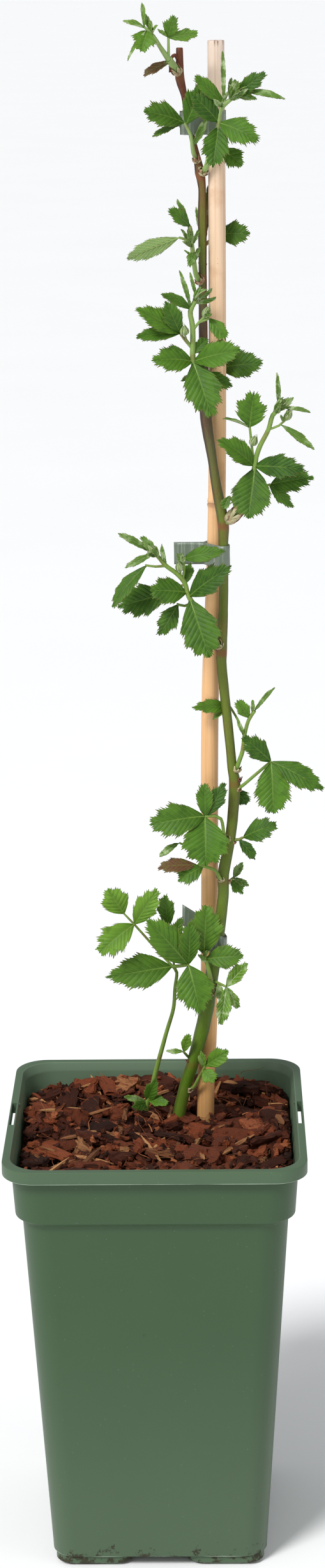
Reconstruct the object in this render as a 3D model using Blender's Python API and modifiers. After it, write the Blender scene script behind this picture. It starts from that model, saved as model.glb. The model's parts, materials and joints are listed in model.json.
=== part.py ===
"""A potted bramble: one long stem and a young sucker, tied to a bamboo cane in a square nursery pot.

Metres, +Z up. The origin is the middle of the pot's underside, on the surface it stands on, and
the photographed front of the pot looks along -Y. Lengths below are in millimetres, times MM.
"""

import math
import random

import bmesh
import bpy
from mathutils import Matrix, Vector
from mathutils.geometry import convex_hull_2d

MM = 0.001
GAP = 0.3

# The pot: outside half widths, heights and corner radii, bottom to top
POT_HEIGHT = 228.0
POT_WALL = 1.0
POT_FLOOR = 1.5
EDGE_ROUND = 0.8
FOOT_HEIGHT = 6.0
BASE_HALF = 54.9
SHOULDER_HALF = 65.95
SHOULDER_Z = 195.1
SHOULDER_RISE = 2.9
COLLAR_HALF_LOW = 69.25
COLLAR_HALF_HIGH = 70.85
LIP_HALF = 75.0
LIP_DROP = 6.5
LIP_THICK = 1.4
FLARE = 1.4
FLARE_DROP = 4.5
RIM_CORNER = 16.0
BASE_CORNER = 12.0
CORNER_STEPS = 4
FOOT_INNER = 13.5
FOOT_OUTER = 53.4
FOOT_CHAMFER = 2.0
FOOT_CORNER = 8.0
PAD_RADIUS = 8.0
SUNK = 0.7
LABEL_SLOT = (2.3, 29.0)
DRAIN_SLOT = (16.0, 3.4)
DRAIN_FROM_CENTRE = 31.0
CUT_ROOM = 2.0

# What fills it, and how far inside the pot's outside that lies
INSET = POT_WALL + GAP + 0.1
SOIL_TOP = 207.0
MULCH_TOP = 215.0
CHIP_LOWEST = 212.0
CHIP_HIGHEST = 222.5
CHIP_COUNT = 46
CHIP_LENGTH = (18.0, 30.0)
CHIP_WIDTH = (10.0, 17.0)
CHIP_THICK = (3.5, 6.5)
CHIP_SHRINK = ((0.75, 1.0), (0.7, 1.0), (0.8, 1.0))
CHIP_RISE = (0.6, 3.2)
CHIP_LEAN = (0.22, 0.18)
CHIP_SUNK = 1.0
CHIP_FIELD = 60.0
CHIP_REACH = 1.25
CHIP_SHIFT = 3.0
CHIP_WALL_GAP = 1.0
CORNER_PULL = 0.9

# The hollow in the mulch round the plant's foot: middle, spread along X and Y, depth
FOOT_HOLLOW = (3.0, 27.0)
HOLLOW_SPREAD = (22.4, 13.4)
HOLLOW_DEPTH = 3.5

# The bamboo cane and the main stem, as (x, y, z, radius) along their middles
CANE = (
    (24, 28, 60, 4.4), (25, 28, 217, 4.4), (27, 28, 267, 4.4), (28, 28, 336, 4.35),
    (29, 28, 437, 4.3), (33, 28, 537, 4.3), (34, 28, 661, 4.15), (34, 28, 757, 4.0),
)
CANE_STEP = 55.0
CANE_NODE_Z = 537.0
CANE_NODE_RING = ((-4.0, 0.0), (-1.0, 0.4), (1.0, 0.4), (4.0, 0.0))
STEM = (
    (8, 27, 165, 2.4), (10, 26, 200, 3.2), (11, 26, 215, 3.3), (15, 24, 234, 3.2),
    (19, 21, 248, 3.2), (23, 20, 263, 3.6), (26, 19, 277, 3.7), (28, 19, 290, 3.5),
    (33, 20, 322, 3.0), (35, 21, 339, 2.8), (35, 21, 349, 2.9), (39, 23, 370, 2.7),
    (41, 24, 395, 2.9), (40, 24, 402, 2.5), (38, 22, 424, 2.4), (35, 22, 455, 2.5),
    (35, 22, 466, 2.6), (36, 21, 492, 2.3), (36, 20, 518, 2.4), (36, 20, 529, 2.8),
    (33, 19, 546, 2.5), (31, 19, 560, 2.3), (28, 21, 580, 2.8), (27, 24, 600, 2.6),
    (27, 26, 620, 2.2), (27, 27, 648, 1.95), (27, 27, 675, 2.1), (27, 27, 689, 1.85),
    (26, 27, 696, 2.4), (25, 27, 702, 1.8), (22, 26, 715, 1.4), (20, 25, 725, 1.4),
    (19, 25, 732, 1.5), (17, 24, 740, 2.2), (17, 24, 746, 1.9), (17, 24, 754, 1.6),
)
SUCKER = ((-7, 31, 190), (-6, 30, 217), (-3, 28, 228), (-1, 27, 238), (5, 23, 262),
          (9, 20, 277), (10, 18, 289), (11, 16, 298), (9, 14, 302))
SUCKER_RADII = (1.7, 1.2)

# Stalks: spacing of their points, and from what radius on they have six sides, not four
STALK_STEP = 12.0
THICK_STALK = 1.45

# Leaf blades
BLADE_THICK = 0.8
BLADE_ARCH = 0.07
BLADE_FOLD = 0.16
BLADE_PLEAT = 0.22
FULL_PLEAT_WIDTH = 8.0
BLADE_SKEW = 0.9
BLADE_FULL = 0.75
TOOTH_OUT = 1.1
NOTCH_IN = 0.88
VEIN_SLANT = 0.11
TOOTH_SHIFT = 0.5
NOTCH_SHIFT = -0.2
FACING = Vector((0.0, -0.9, 0.45))
ROOT_HALF = 0.45
NARROW_BLADE = 5.0
TOOTH_WIDTHS = (4.0, 9.0, 14.0)

# Buds: how far the sphere is drawn out and pinched towards its tip
BUD_DRAWN = 0.6
BUD_PINCH = 0.45

# Tape ties round the cane and the stem: middle height, rise along X, length of the tail on the left
TAPE_WIDTH = 11.0
TAPE_THICK = 0.5
TAPE_SLACK = 0.5
TAPE_SIDES = 14
PINCH_ROOM = 1.0
TIES = {
    "tie_top": (719.5, 0.0, 4.0),
    "tie_middle": (512.4, 0.0, 14.5),
    "tie_low": (316.0, -0.65, 8.0),
}
STAPLE_WIRE = 0.5
STAPLE_SPAN = 4.0

# Leafy shoots from the top down. Stalks are (first radius, last radius, points). Leaves are
# (root, tip, width, turn of the face about its own length). Buds are (root, tip, radius).
SHOOTS = {
    "shoot_01": (
        ((1.5, 1.9, (17, 24, 741), (15, 20, 745), (12, 16, 749)),
         (1.8, 0.8, (12, 16, 749), (8, 13, 755), (5, 11, 760), (1, 9, 764)),
         (0.7, 0.6, (12, 16, 750), (12, 14, 755), (12, 13, 759))),
        (((12, 13, 759), (15, 11, 769), 8, 0), ((12, 13, 759), (26, 10, 761), 6, 35),
         ((4, 10, 763), (-1, 4, 753), 11, 0),
         ((1, 9, 764), (0, 10, 775), 2.4, 0), ((2, 9, 764), (-9, 6, 767), 3, 0),
         ((2, 9, 763), (-7, 5, 749), 2, 0), ((5, 11, 761), (0, 13, 771), 3, 0),
         ((11, 17, 747), (0, 12, 742), 5, 0)),
        ()),
    "shoot_02": (
        ((1.2, 0.7, (25, 27, 702), (23, 22, 706), (22, 19, 714), (19, 18, 720)),),
        (((19, 18, 720), (0, 11, 726), 13, 0), ((19, 18, 720), (4, 13, 714), 6, 45),
         ((20, 18, 719), (29, 17, 738), 12, 0), ((23, 21, 709), (30, 16, 723), 4, 20)),
        ()),
    "shoot_03": (
        ((1.4, 0.9, (26, 27, 695), (29, 22, 699), (32, 17, 710), (35, 13, 719), (36, 12, 726),
          (41, 11, 731), (46, 10, 734)),
         (0.8, 0.7, (31, 18, 706), (34, 18, 707), (37, 18, 708))),
        (((35, 12, 720), (23, 9, 733), 11, 0), ((36, 12, 720), (54, 4, 712), 13, 0),
         ((35, 12, 718), (32, 5, 700), 13, 0), ((37, 18, 708), (46, 14, 700), 10, 0),
         ((38, 12, 728), (37, 10, 753), 2.4, 0), ((38, 12, 728), (24, 8, 742), 7, 0),
         ((44, 10, 733), (57, 6, 743), 8, 0), ((46, 10, 734), (66, 5, 731), 4, 0),
         ((43, 11, 732), (53, 8, 731), 4, 0)),
        ()),
    "shoot_04": (
        ((1.3, 1.0, (27, 27, 643), (24, 24, 648), (23, 22, 654), (22, 20, 663), (21, 18, 672)),
         (0.8, 0.6, (22, 20, 662), (19, 17, 666), (16, 16, 667))),
        (((21, 18, 672), (11, 13, 681), 7.5, 0), ((21, 18, 672), (15, 16, 685), 3, 0),
         ((16, 16, 667), (-9, 9, 658), 9, 150), ((23, 21, 660), (21, 15, 653), 5, 0)),
        ()),
    "shoot_05": (
        ((1.0, 0.8, (27, 27, 653), (27, 31, 657), (28, 35, 661), (34, 36, 666)),),
        (((34, 36, 666), (50, 33, 667), 12, 0), ((28, 35, 661), (24, 31, 680), 2.5, 0),
         ((28, 35, 661), (30, 34, 690), 3, 0)),
        ()),
    "shoot_06": (
        ((1.6, 1.2, (27, 24, 597), (24, 20, 601), (22, 16, 609), (22, 16, 615), (22, 16, 625),
          (21, 17, 632), (24, 17, 638)),
         (0.7, 0.6, (22, 16, 614), (18, 15, 619), (16, 14, 622)),
         (0.6, 0.5, (21, 16, 616), (19, 14, 619), (18, 13, 622)),
         (0.7, 0.6, (22, 16, 623), (25, 15, 627), (28, 14, 630)),
         (0.6, 0.6, (25, 15, 627), (30, 14, 629))),
        (((22, 16, 608), (2, 8, 610), 13.5, 0), ((22, 16, 608), (45, 6, 615), 13.5, 0),
         ((22, 16, 608), (31, 4, 583), 18, 0), ((24, 20, 602), (41, 16, 596), 8, 0),
         ((21, 17, 633), (16, 14, 652), 2.5, 0),
         ((21, 17, 633), (7, 12, 641), 6, 0), ((16, 14, 622), (-5, 6, 635), 11, 0),
         ((16, 14, 622), (-5, 8, 621), 8, 0), ((16, 14, 622), (9, 10, 638), 9.5, 0),
         ((30, 14, 629), (38, 10, 619), 8, 0), ((22, 16, 612), (29, 19, 619), 6, 0)),
        (((18, 13, 621), (18, 12, 626), 1.9), ((28, 14, 629), (30, 13, 635), 1.7),
         ((24, 17, 637), (25, 16, 642), 1.5))),
    "shoot_07": (
        ((1.0, 0.8, (27, 24, 594), (27, 29, 596), (29, 34, 598), (34, 36, 602)),),
        (((34, 36, 602), (56, 31, 605), 14, 0),),
        ()),
    "shoot_08": (
        ((2.0, 1.5, (36, 20, 529), (40, 18, 531), (43, 16, 537)),
         (1.4, 1.1, (42, 16, 535), (46, 14, 544), (51, 13, 556), (52, 13, 562), (54, 12, 568),
          (58, 11, 576), (60, 10, 583), (64, 9, 587)),
         (0.7, 0.6, (46, 14, 544), (52, 17, 546), (59, 18, 548)),
         (0.7, 0.6, (51, 13, 558), (50, 13, 567), (49, 12, 577)),
         (0.6, 0.5, (58, 11, 576), (63, 10, 578), (67, 8, 582)),
         (0.6, 0.5, (42, 16, 535), (41, 15, 540), (39, 15, 543))),
        (((51, 13, 558), (33, 6, 572), 12, 0), ((51, 13, 558), (76, 5, 557), 12, 0),
         ((51, 13, 557), (48, 3, 534), 19.5, 0), ((59, 18, 548), (80, 13, 552), 12, 0),
         ((58, 18, 548), (70, 14, 537), 6.5, 0), ((39, 15, 543), (36, 13, 537), 5, 0),
         ((49, 12, 577), (51, 8, 595), 15, 0), ((49, 12, 577), (36, 8, 582), 4, 55),
         ((63, 9, 586), (62, 7, 604), 2.5, 0), ((64, 9, 587), (78, 5, 585), 2.5, 0),
         ((61, 10, 584), (70, 7, 592), 4.5, 0), ((64, 10, 579), (80, 5, 567), 4.5, 0)),
        (((50, 13, 568), (52, 11, 573), 1.8), ((66, 9, 581), (69, 7, 586), 1.6),
         ((64, 9, 586), (67, 8, 591), 1.9))),
    "shoot_09": (
        ((1.5, 1.0, (35, 22, 465), (32, 18, 470), (30, 16, 475), (24, 13, 486), (19, 12, 494),
          (17, 12, 501), (13, 11, 506), (8, 10, 510), (4, 9, 515), (1, 9, 517)),
         (0.7, 0.5, (8, 10, 510), (3, 8, 510), (-2, 7, 511)),
         (0.7, 0.6, (21, 13, 491), (17, 14, 489), (13, 14, 490)),
         (0.7, 0.6, (17, 12, 500), (13, 15, 498), (9, 16, 495)),
         (0.6, 0.5, (15, 12, 503), (15, 11, 507), (14, 10, 509)),
         (0.6, 0.6, (16, 12, 502), (17, 11, 509), (16, 10, 513))),
        (((20, 12, 494), (40, 4, 511), 13.5, 0), ((20, 12, 493), (29, 1, 466), 19, 0),
         ((18, 12, 496), (0, 4, 499), 14, 0), ((14, 14, 490), (4, 10, 475), 10, 0),
         ((9, 16, 495), (-16, 12, 489), 16, 0), ((-1, 7, 511), (-18, 2, 491), 10, 35),
         ((2, 9, 516), (-12, 6, 510), 4, 0), ((1, 9, 517), (-15, 6, 527), 4, 0),
         ((3, 9, 515), (-4, 8, 525), 5, 0), ((16, 10, 513), (37, 5, 518), 8.5, 0),
         ((17, 12, 500), (20, 17, 510), 6, 0), ((28, 15, 480), (24, 17, 488), 5, 0)),
        (((15, 11, 507), (14, 9, 512), 1.8), ((2, 9, 516), (-1, 8, 521), 1.8))),
    "shoot_10": (
        ((1.3, 0.9, (41, 24, 400), (43, 22, 407), (45, 22, 413), (46, 22, 421), (48, 21, 429),
          (51, 20, 434)),
         (0.6, 0.6, (46, 22, 420), (43, 27, 427), (39, 28, 434))),
        (((39, 28, 434), (20, 15, 437), 8, 0), ((39, 28, 434), (30, 19, 430), 3, 0),
         ((49, 21, 430), (42, 19, 440), 7, 0), ((51, 20, 434), (61, 16, 447), 2.6, 0),
         ((46, 22, 420), (42, 21, 431), 2.3, 0)),
        ()),
    "shoot_11": (
        ((0.9, 0.7, (41, 24, 392), (45, 22, 395), (52, 19, 402), (59, 16, 409)),),
        (((59, 16, 409), (60, 8, 384), 18, 0), ((59, 16, 409), (85, 10, 396), 12.5, 0),
         ((59, 16, 409), (45, 13, 423), 11, 0)),
        ()),
    "shoot_12": (
        ((0.8, 0.7, (41, 24, 388), (41, 28, 389), (42, 30, 390)),),
        (((42, 30, 390), (47, 28, 383), 8.5, 0),),
        ()),
    "shoot_13": (
        ((0.9, 0.8, (39, 23, 367), (36, 18, 368), (35, 18, 374), (34, 17, 379), (31, 16, 381),
          (26, 15, 381)),),
        (((26, 15, 381), (-2, 8, 379), 17, 0), ((26, 15, 381), (26, 17, 398), 9, 0),
         ((27, 15, 381), (36, 17, 398), 9, 0), ((26, 15, 381), (26, 5, 358), 23.5, 0)),
        ()),
    "shoot_14": (
        ((0.9, 0.7, (39, 23, 366), (43, 21, 367), (45, 21, 368)),),
        (((45, 21, 368), (62, 16, 376), 12.5, 0), ((43, 21, 367), (51, 18, 357), 6.5, 0)),
        ()),
    "shoot_15": (
        ((1.0, 0.7, (35, 21, 346), (33, 17, 348), (31, 17, 352), (26, 17, 354), (22, 17, 355)),
         (0.6, 0.5, (26, 17, 354), (19, 17, 363), (13, 16, 367))),
        (((13, 16, 367), (3, 12, 361), 4, 0), ((22, 17, 355), (2, 12, 355), 8, 0),
         ((25, 17, 354), (12, 12, 348), 10.5, 0)),
        ()),
    "shoot_16": (
        ((1.0, 0.7, (35, 21, 344), (38, 24, 344), (40, 26, 345)),),
        (((40, 26, 345), (48, 23, 342), 3.5, 0), ((40, 26, 345), (45, 24, 354), 4.6, 0),
         ((39, 25, 344), (45, 22, 338), 6.5, 0)),
        ()),
    "shoot_17": (
        ((1.2, 0.9, (29, 19, 286), (29, 14, 289), (28, 13, 297), (26, 13, 305), (25, 13, 309)),),
        (((25, 13, 309), (26, 11, 336), 17.5, 0), ((26, 13, 306), (45, 8, 310), 12.5, 0)),
        ()),
    "shoot_18": (
        ((0.8, 0.6, (28, 19, 293), (32, 14, 293), (36, 11, 292)),),
        (((36, 11, 292), (47, 7, 306), 7.6, 0), ((36, 11, 292), (33, 4, 274), 7.6, 0),
         ((36, 11, 292), (42, 12, 280), 5, 0), ((32, 14, 293), (34, 11, 283), 5, 0)),
        ()),
    "shoot_19": (
        ((0.8, 0.6, (19, 21, 248), (16, 20, 251), (15, 18, 253), (14, 16, 255)),),
        (((14, 16, 255), (5, 12, 257), 3, 0), ((14, 16, 255), (17, 13, 266), 5.6, 0)),
        ()),
    "shoot_20": (
        ((1.1, 0.7, (15, 24, 231), (19, 22, 233), (21, 19, 238), (25, 16, 247)),),
        (((25, 16, 247), (37, 12, 257), 9.5, 0), ((24, 17, 245), (30, 11, 240), 8.5, 0),
         ((24, 17, 246), (23, 15, 256), 4.6, 0)),
        ()),
    "sucker_shoot": (
        (SUCKER_RADII + SUCKER,
         (0.9, 0.8, (9, 14, 302), (13, 12, 303), (17, 11, 304)),
         (0.7, 0.6, (9, 14, 302), (2, 14, 310), (-4, 12, 318), (-10, 10, 326)),
         (0.6, 0.5, (-10, 10, 326), (-15, 9, 332)),
         (0.6, 0.5, (10, 16, 300), (8, 16, 313), (7, 14, 325))),
        (((9, 14, 302), (-25, 4, 300), 18, 0), ((17, 11, 304), (-4, 3, 331), 16.5, 0),
         ((17, 11, 304), (18, 5, 329), 11, 0), ((17, 11, 304), (23, 2, 280), 20, 0),
         ((-15, 9, 332), (-23, 5, 347), 14, 0), ((-10, 10, 326), (2, 7, 346), 12, 0),
         ((-10, 10, 326), (-28, 4, 313), 15, 0), ((7, 14, 324), (5, 12, 341), 9, 0),
         ((8, 16, 312), (14, 16, 328), 6.5, 0), ((-5, 29, 222), (0, 25, 237), 7.5, 0),
         ((-5, 29, 222), (-17, 22, 228), 4, 0), ((-5, 29, 221), (-13, 20, 223), 6, 0),
         ((-4, 28, 223), (6, 21, 224), 6.5, 0)),
        ()),
}

COLOURS = {
    "pot_green": ((0.085, 0.150, 0.080), 0.42),
    "soil_brown": ((0.050, 0.030, 0.020), 0.95),
    "bark_red": ((0.110, 0.040, 0.025), 0.85),
    "bamboo": ((0.640, 0.430, 0.260), 0.55),
    "stem_green": ((0.130, 0.160, 0.045), 0.50),
    "leaf_green": ((0.080, 0.190, 0.030), 0.50),
    "tape_olive": ((0.120, 0.150, 0.110), 0.30),
    "staple_steel": ((0.600, 0.600, 0.620), 0.30),
}


def clear_scene():
    for obj in list(bpy.data.objects):
        bpy.data.objects.remove(obj, do_unlink=True)


def new_collection(name):
    made = bpy.data.collections.new(name)
    bpy.context.scene.collection.children.link(made)
    return made


def make_material(name):
    colour, roughness = COLOURS[name]
    material = bpy.data.materials.new(name)
    material.use_nodes = True
    shader = material.node_tree.nodes["Principled BSDF"]
    shader.inputs["Base Color"].default_value = (*colour, 1.0)
    shader.inputs["Roughness"].default_value = roughness
    shader.inputs["Metallic"].default_value = 1.0 if name == "staple_steel" else 0.0
    material.diffuse_color = (*colour, 1.0)
    return material


def add_object(name, mesh, collection, material=None):
    obj = bpy.data.objects.new(name, mesh)
    collection.objects.link(obj)
    if material:
        mesh.materials.clear()
        mesh.materials.append(material)
    return obj


def mesh_from(name, bm):
    bmesh.ops.recalc_face_normals(bm, faces=bm.faces)
    mesh = bpy.data.meshes.new(name)
    bm.to_mesh(mesh)
    bm.free()
    return mesh


def point(values):
    return Vector(values[:3]) * MM


def is_closed(mesh):
    bm = bmesh.new()
    bm.from_mesh(mesh)
    closed = all(len(edge.link_faces) == 2 for edge in bm.edges)
    bm.free()
    return closed


def largest_body(mesh):
    """Keeps the biggest connected piece of a mesh, dropping loose scraps that a cut leaves."""
    bm = bmesh.new()
    bm.from_mesh(mesh)
    left = set(bm.verts)
    bodies = []
    while left:
        grown = {left.pop()}
        near = set(grown)
        while near:
            near = {edge.other_vert(vert) for vert in near for edge in vert.link_edges} - grown
            grown |= near
        left -= grown
        bodies.append(grown)
    bodies.sort(key=len)
    for body in bodies[:-1]:
        bmesh.ops.delete(bm, geom=list(body), context="VERTS")
    bm.to_mesh(mesh)
    bm.free()


def apply_boolean(obj, operation, collection):
    """Joins or cuts obj with everything in the collection, then removes what the collection held."""
    step = obj.modifiers.new("join", "BOOLEAN")
    step.operation = operation
    step.operand_type = "COLLECTION"
    step.collection = collection
    for solver in ("EXACT", "MANIFOLD"):
        step.solver = solver
        graph = bpy.context.evaluated_depsgraph_get()
        mesh = bpy.data.meshes.new_from_object(obj.evaluated_get(graph))
        if is_closed(mesh):
            break
    obj.modifiers.remove(step)
    largest_body(mesh)
    old = obj.data
    obj.data = mesh
    bpy.data.meshes.remove(old)
    for used in list(collection.objects):
        bpy.data.objects.remove(used, do_unlink=True)


def shade(obj):
    obj.data.shade_smooth()
    obj.data.set_sharp_from_angle(angle=math.radians(40))


# Smooth paths and tubes


def smooth_path(points, step):
    """Points about every step along a smooth curve through the given ones (any number of values)."""
    rows = [tuple(float(v) for v in row) for row in points]
    ends = [rows[0], *rows, rows[-1]]
    out = []
    for a, b, c, d in zip(ends, ends[1:], ends[2:], ends[3:]):
        span = math.dist(b[:3], c[:3])
        count = max(1, round(span / step))
        for i in range(count):
            t = i / count
            out.append(tuple(
                0.5 * (2 * q + (r - p) * t + (2 * p - 5 * q + 4 * r - s) * t * t
                       + (3 * q - p - 3 * r + s) * t ** 3)
                for p, q, r, s in zip(a, b, c, d)))
    out.append(rows[-1])
    return out


def tube(name, rows, collection, resolution, extra=0.0):
    """A closed tube mesh along (x, y, z, radius) rows in mm. extra widens it, for cutters."""
    curve = bpy.data.curves.new(name, "CURVE")
    curve.dimensions = "3D"
    curve.bevel_depth = MM
    curve.bevel_resolution = resolution
    curve.use_fill_caps = True
    spline = curve.splines.new("POLY")
    spline.points.add(len(rows) - 1)
    for target, row in zip(spline.points, rows):
        target.co = (*point(row), 1.0)
        target.radius = row[3] + extra
    drawn = bpy.data.objects.new(name, curve)
    collection.objects.link(drawn)
    graph = bpy.context.evaluated_depsgraph_get()
    mesh = bpy.data.meshes.new_from_object(drawn.evaluated_get(graph))
    bpy.data.objects.remove(drawn, do_unlink=True)
    bm = bmesh.new()
    bm.from_mesh(mesh)
    bpy.data.meshes.remove(mesh)
    bmesh.ops.remove_doubles(bm, verts=bm.verts, dist=0.00001)
    return add_object(name, mesh_from(name, bm), collection)


def stalk_rows(stalk, step=STALK_STEP):
    first, last, *points = stalk
    path = smooth_path(points, step)
    return [(*p, first + (last - first) * i / (len(path) - 1)) for i, p in enumerate(path)]


def at_height(rows, z):
    """The middle and radius of an upright stem or cane at a height."""
    for low, high in zip(rows, rows[1:]):
        if low[2] <= z <= high[2]:
            t = (z - low[2]) / (high[2] - low[2])
            return [a + (b - a) * t for a, b in zip(low, high)]
    return list(rows[-1])


# The pot


def rounded_square(half, corner, z, steps=CORNER_STEPS):
    inner = half - corner
    loop = []
    for quarter, (sx, sy) in enumerate(((1, 1), (-1, 1), (-1, -1), (1, -1))):
        for i in range(steps + 1):
            angle = math.radians(90 * (quarter + i / steps))
            loop.append(point((sx * inner + corner * math.cos(angle),
                               sy * inner + corner * math.sin(angle), z)))
    return loop


def loft(name, loops):
    """One closed skin over loops of equal length, with its first and last loop filled."""
    bm = bmesh.new()
    rings = [[bm.verts.new(p) for p in loop] for loop in loops]
    for low, high in zip(rings, rings[1:]):
        for i in range(len(low)):
            j = (i + 1) % len(low)
            bm.faces.new((low[i], low[j], high[j], high[i]))
    bm.faces.new(rings[0])
    bm.faces.new(rings[-1])
    return mesh_from(name, bm)


def corner_at(z):
    return BASE_CORNER + (RIM_CORNER - BASE_CORNER) * z / POT_HEIGHT


def outside_half(z):
    """Half width of the pot's outside below the lip."""
    if z < SHOULDER_Z:
        return BASE_HALF + (SHOULDER_HALF - BASE_HALF) * (z - FOOT_HEIGHT) / (SHOULDER_Z - FOOT_HEIGHT)
    low = SHOULDER_Z + SHOULDER_RISE
    share = max(0.0, (z - low) / (POT_HEIGHT - low))
    return COLLAR_HALF_LOW + (COLLAR_HALF_HIGH - COLLAR_HALF_LOW) * share


def block(name, low, high, collection):
    """A box between two corners in mm, from the cube primitive."""
    bm = bmesh.new()
    bmesh.ops.create_cube(bm, size=1.0)
    low, high = point(low), point(high)
    bmesh.ops.scale(bm, vec=high - low, verts=bm.verts)
    bmesh.ops.translate(bm, vec=(low + high) / 2, verts=bm.verts)
    return add_object(name, mesh_from(name, bm), collection)


def foot(side_x, side_y, cutters):
    """A low corner foot with rounded corners and a chamfer round its underside."""
    half = (FOOT_OUTER - FOOT_INNER) / 2
    middle = Vector((side_x, side_y, 0)) * (FOOT_OUTER + FOOT_INNER) / 2 * MM
    levels = ((half - FOOT_CHAMFER, 0), (half, FOOT_CHAMFER), (half, FOOT_HEIGHT + SUNK))
    loops = [[p + middle for p in rounded_square(wide, FOOT_CORNER, z, 2)] for wide, z in levels]
    add_object("foot", loft("foot", loops), cutters)


def build_pot(parts, cutters, material):
    floor = FOOT_HEIGHT + POT_FLOOR
    collar_low = SHOULDER_Z + SHOULDER_RISE
    skirt_in = LIP_HALF - POT_WALL
    lip_under = POT_HEIGHT - LIP_THICK
    lip_low = POT_HEIGHT - LIP_DROP
    outside = (
        (BASE_HALF - EDGE_ROUND, FOOT_HEIGHT), (BASE_HALF, FOOT_HEIGHT + EDGE_ROUND),
        (SHOULDER_HALF, SHOULDER_Z), (COLLAR_HALF_LOW, collar_low),
        (COLLAR_HALF_HIGH, POT_HEIGHT - FLARE_DROP), (COLLAR_HALF_HIGH + FLARE, lip_under),
        (skirt_in, lip_under), (skirt_in, lip_low), (LIP_HALF, lip_low),
        (LIP_HALF, POT_HEIGHT - EDGE_ROUND), (LIP_HALF - EDGE_ROUND, POT_HEIGHT),
    )
    inside = (
        (COLLAR_HALF_HIGH + FLARE, POT_HEIGHT), (COLLAR_HALF_HIGH, POT_HEIGHT - FLARE_DROP),
        (COLLAR_HALF_LOW, collar_low + EDGE_ROUND), (SHOULDER_HALF, SHOULDER_Z + EDGE_ROUND),
        (BASE_HALF, floor + EDGE_ROUND), (BASE_HALF - EDGE_ROUND, floor),
    )
    profile = outside + tuple((half - POT_WALL, z) for half, z in inside)
    loops = [rounded_square(half, corner_at(z), z) for half, z in profile]
    pot = add_object("pot", loft("pot", loops), parts, material)
    for side_x in (-1, 1):
        for side_y in (-1, 1):
            foot(side_x, side_y, cutters)
    bm = bmesh.new()
    depth = FOOT_HEIGHT + SUNK
    bmesh.ops.create_cone(bm, cap_ends=True, segments=10, radius1=PAD_RADIUS * MM,
                          radius2=PAD_RADIUS * MM, depth=depth * MM,
                          matrix=Matrix.Translation(point((0, 0, depth / 2))))
    add_object("pad", mesh_from("pad", bm), cutters)
    width, length = LABEL_SLOT
    for side in (-1, 1):
        across = sorted((side * (COLLAR_HALF_HIGH - POT_WALL / 2), side * (skirt_in + POT_WALL / 2)))
        block("slot_end", (across[0], length / 2, lip_low + EDGE_ROUND),
              (across[1], length / 2 + LIP_THICK, POT_HEIGHT - EDGE_ROUND), cutters)
    apply_boolean(pot, "UNION", cutters)
    for side in (-1, 1):
        across = sorted(side * (LIP_HALF - EDGE_ROUND - part) for part in (0, width))
        block("label_slot", (across[0], -length / 2, lip_under - CUT_ROOM),
              (across[1], length / 2, POT_HEIGHT + CUT_ROOM), cutters)
        long, narrow = DRAIN_SLOT
        low, high = FOOT_HEIGHT - CUT_ROOM, floor + CUT_ROOM
        block("drain_x", (side * DRAIN_FROM_CENTRE - long / 2, -narrow / 2, low),
              (side * DRAIN_FROM_CENTRE + long / 2, narrow / 2, high), cutters)
        block("drain_y", (-narrow / 2, side * DRAIN_FROM_CENTRE - long / 2, low),
              (narrow / 2, side * DRAIN_FROM_CENTRE + long / 2, high), cutters)
    apply_boolean(pot, "DIFFERENCE", cutters)
    shade(pot)
    return pot


# Potting soil and bark mulch


def add_hole(rows, cutters, resolution):
    """A cutter for what stands in the soil: its path there, wider and deeper by the gap."""
    buried = sum(row[2] < CHIP_HIGHEST for row in rows)
    (x, y, z, radius), *rest = rows[:buried + 1]
    tube("hole", [(x, y, z - GAP, radius), *rest], cutters, resolution, GAP)


def build_soil(parts, cutters, material, holes):
    floor = FOOT_HEIGHT + POT_FLOOR + GAP
    collar_low = SHOULDER_Z + SHOULDER_RISE
    levels = ((BASE_HALF - EDGE_ROUND, floor), (BASE_HALF, floor + 2 * EDGE_ROUND),
              (SHOULDER_HALF, SHOULDER_Z + EDGE_ROUND), (COLLAR_HALF_LOW, collar_low + 3 * EDGE_ROUND),
              (outside_half(SOIL_TOP), SOIL_TOP))
    soil = add_object("potting_soil",
                      loft("soil", [rounded_square(half - INSET, corner_at(z), z) for half, z in levels]),
                      parts, material)
    holes(cutters)
    apply_boolean(soil, "DIFFERENCE", cutters)
    return soil


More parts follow.
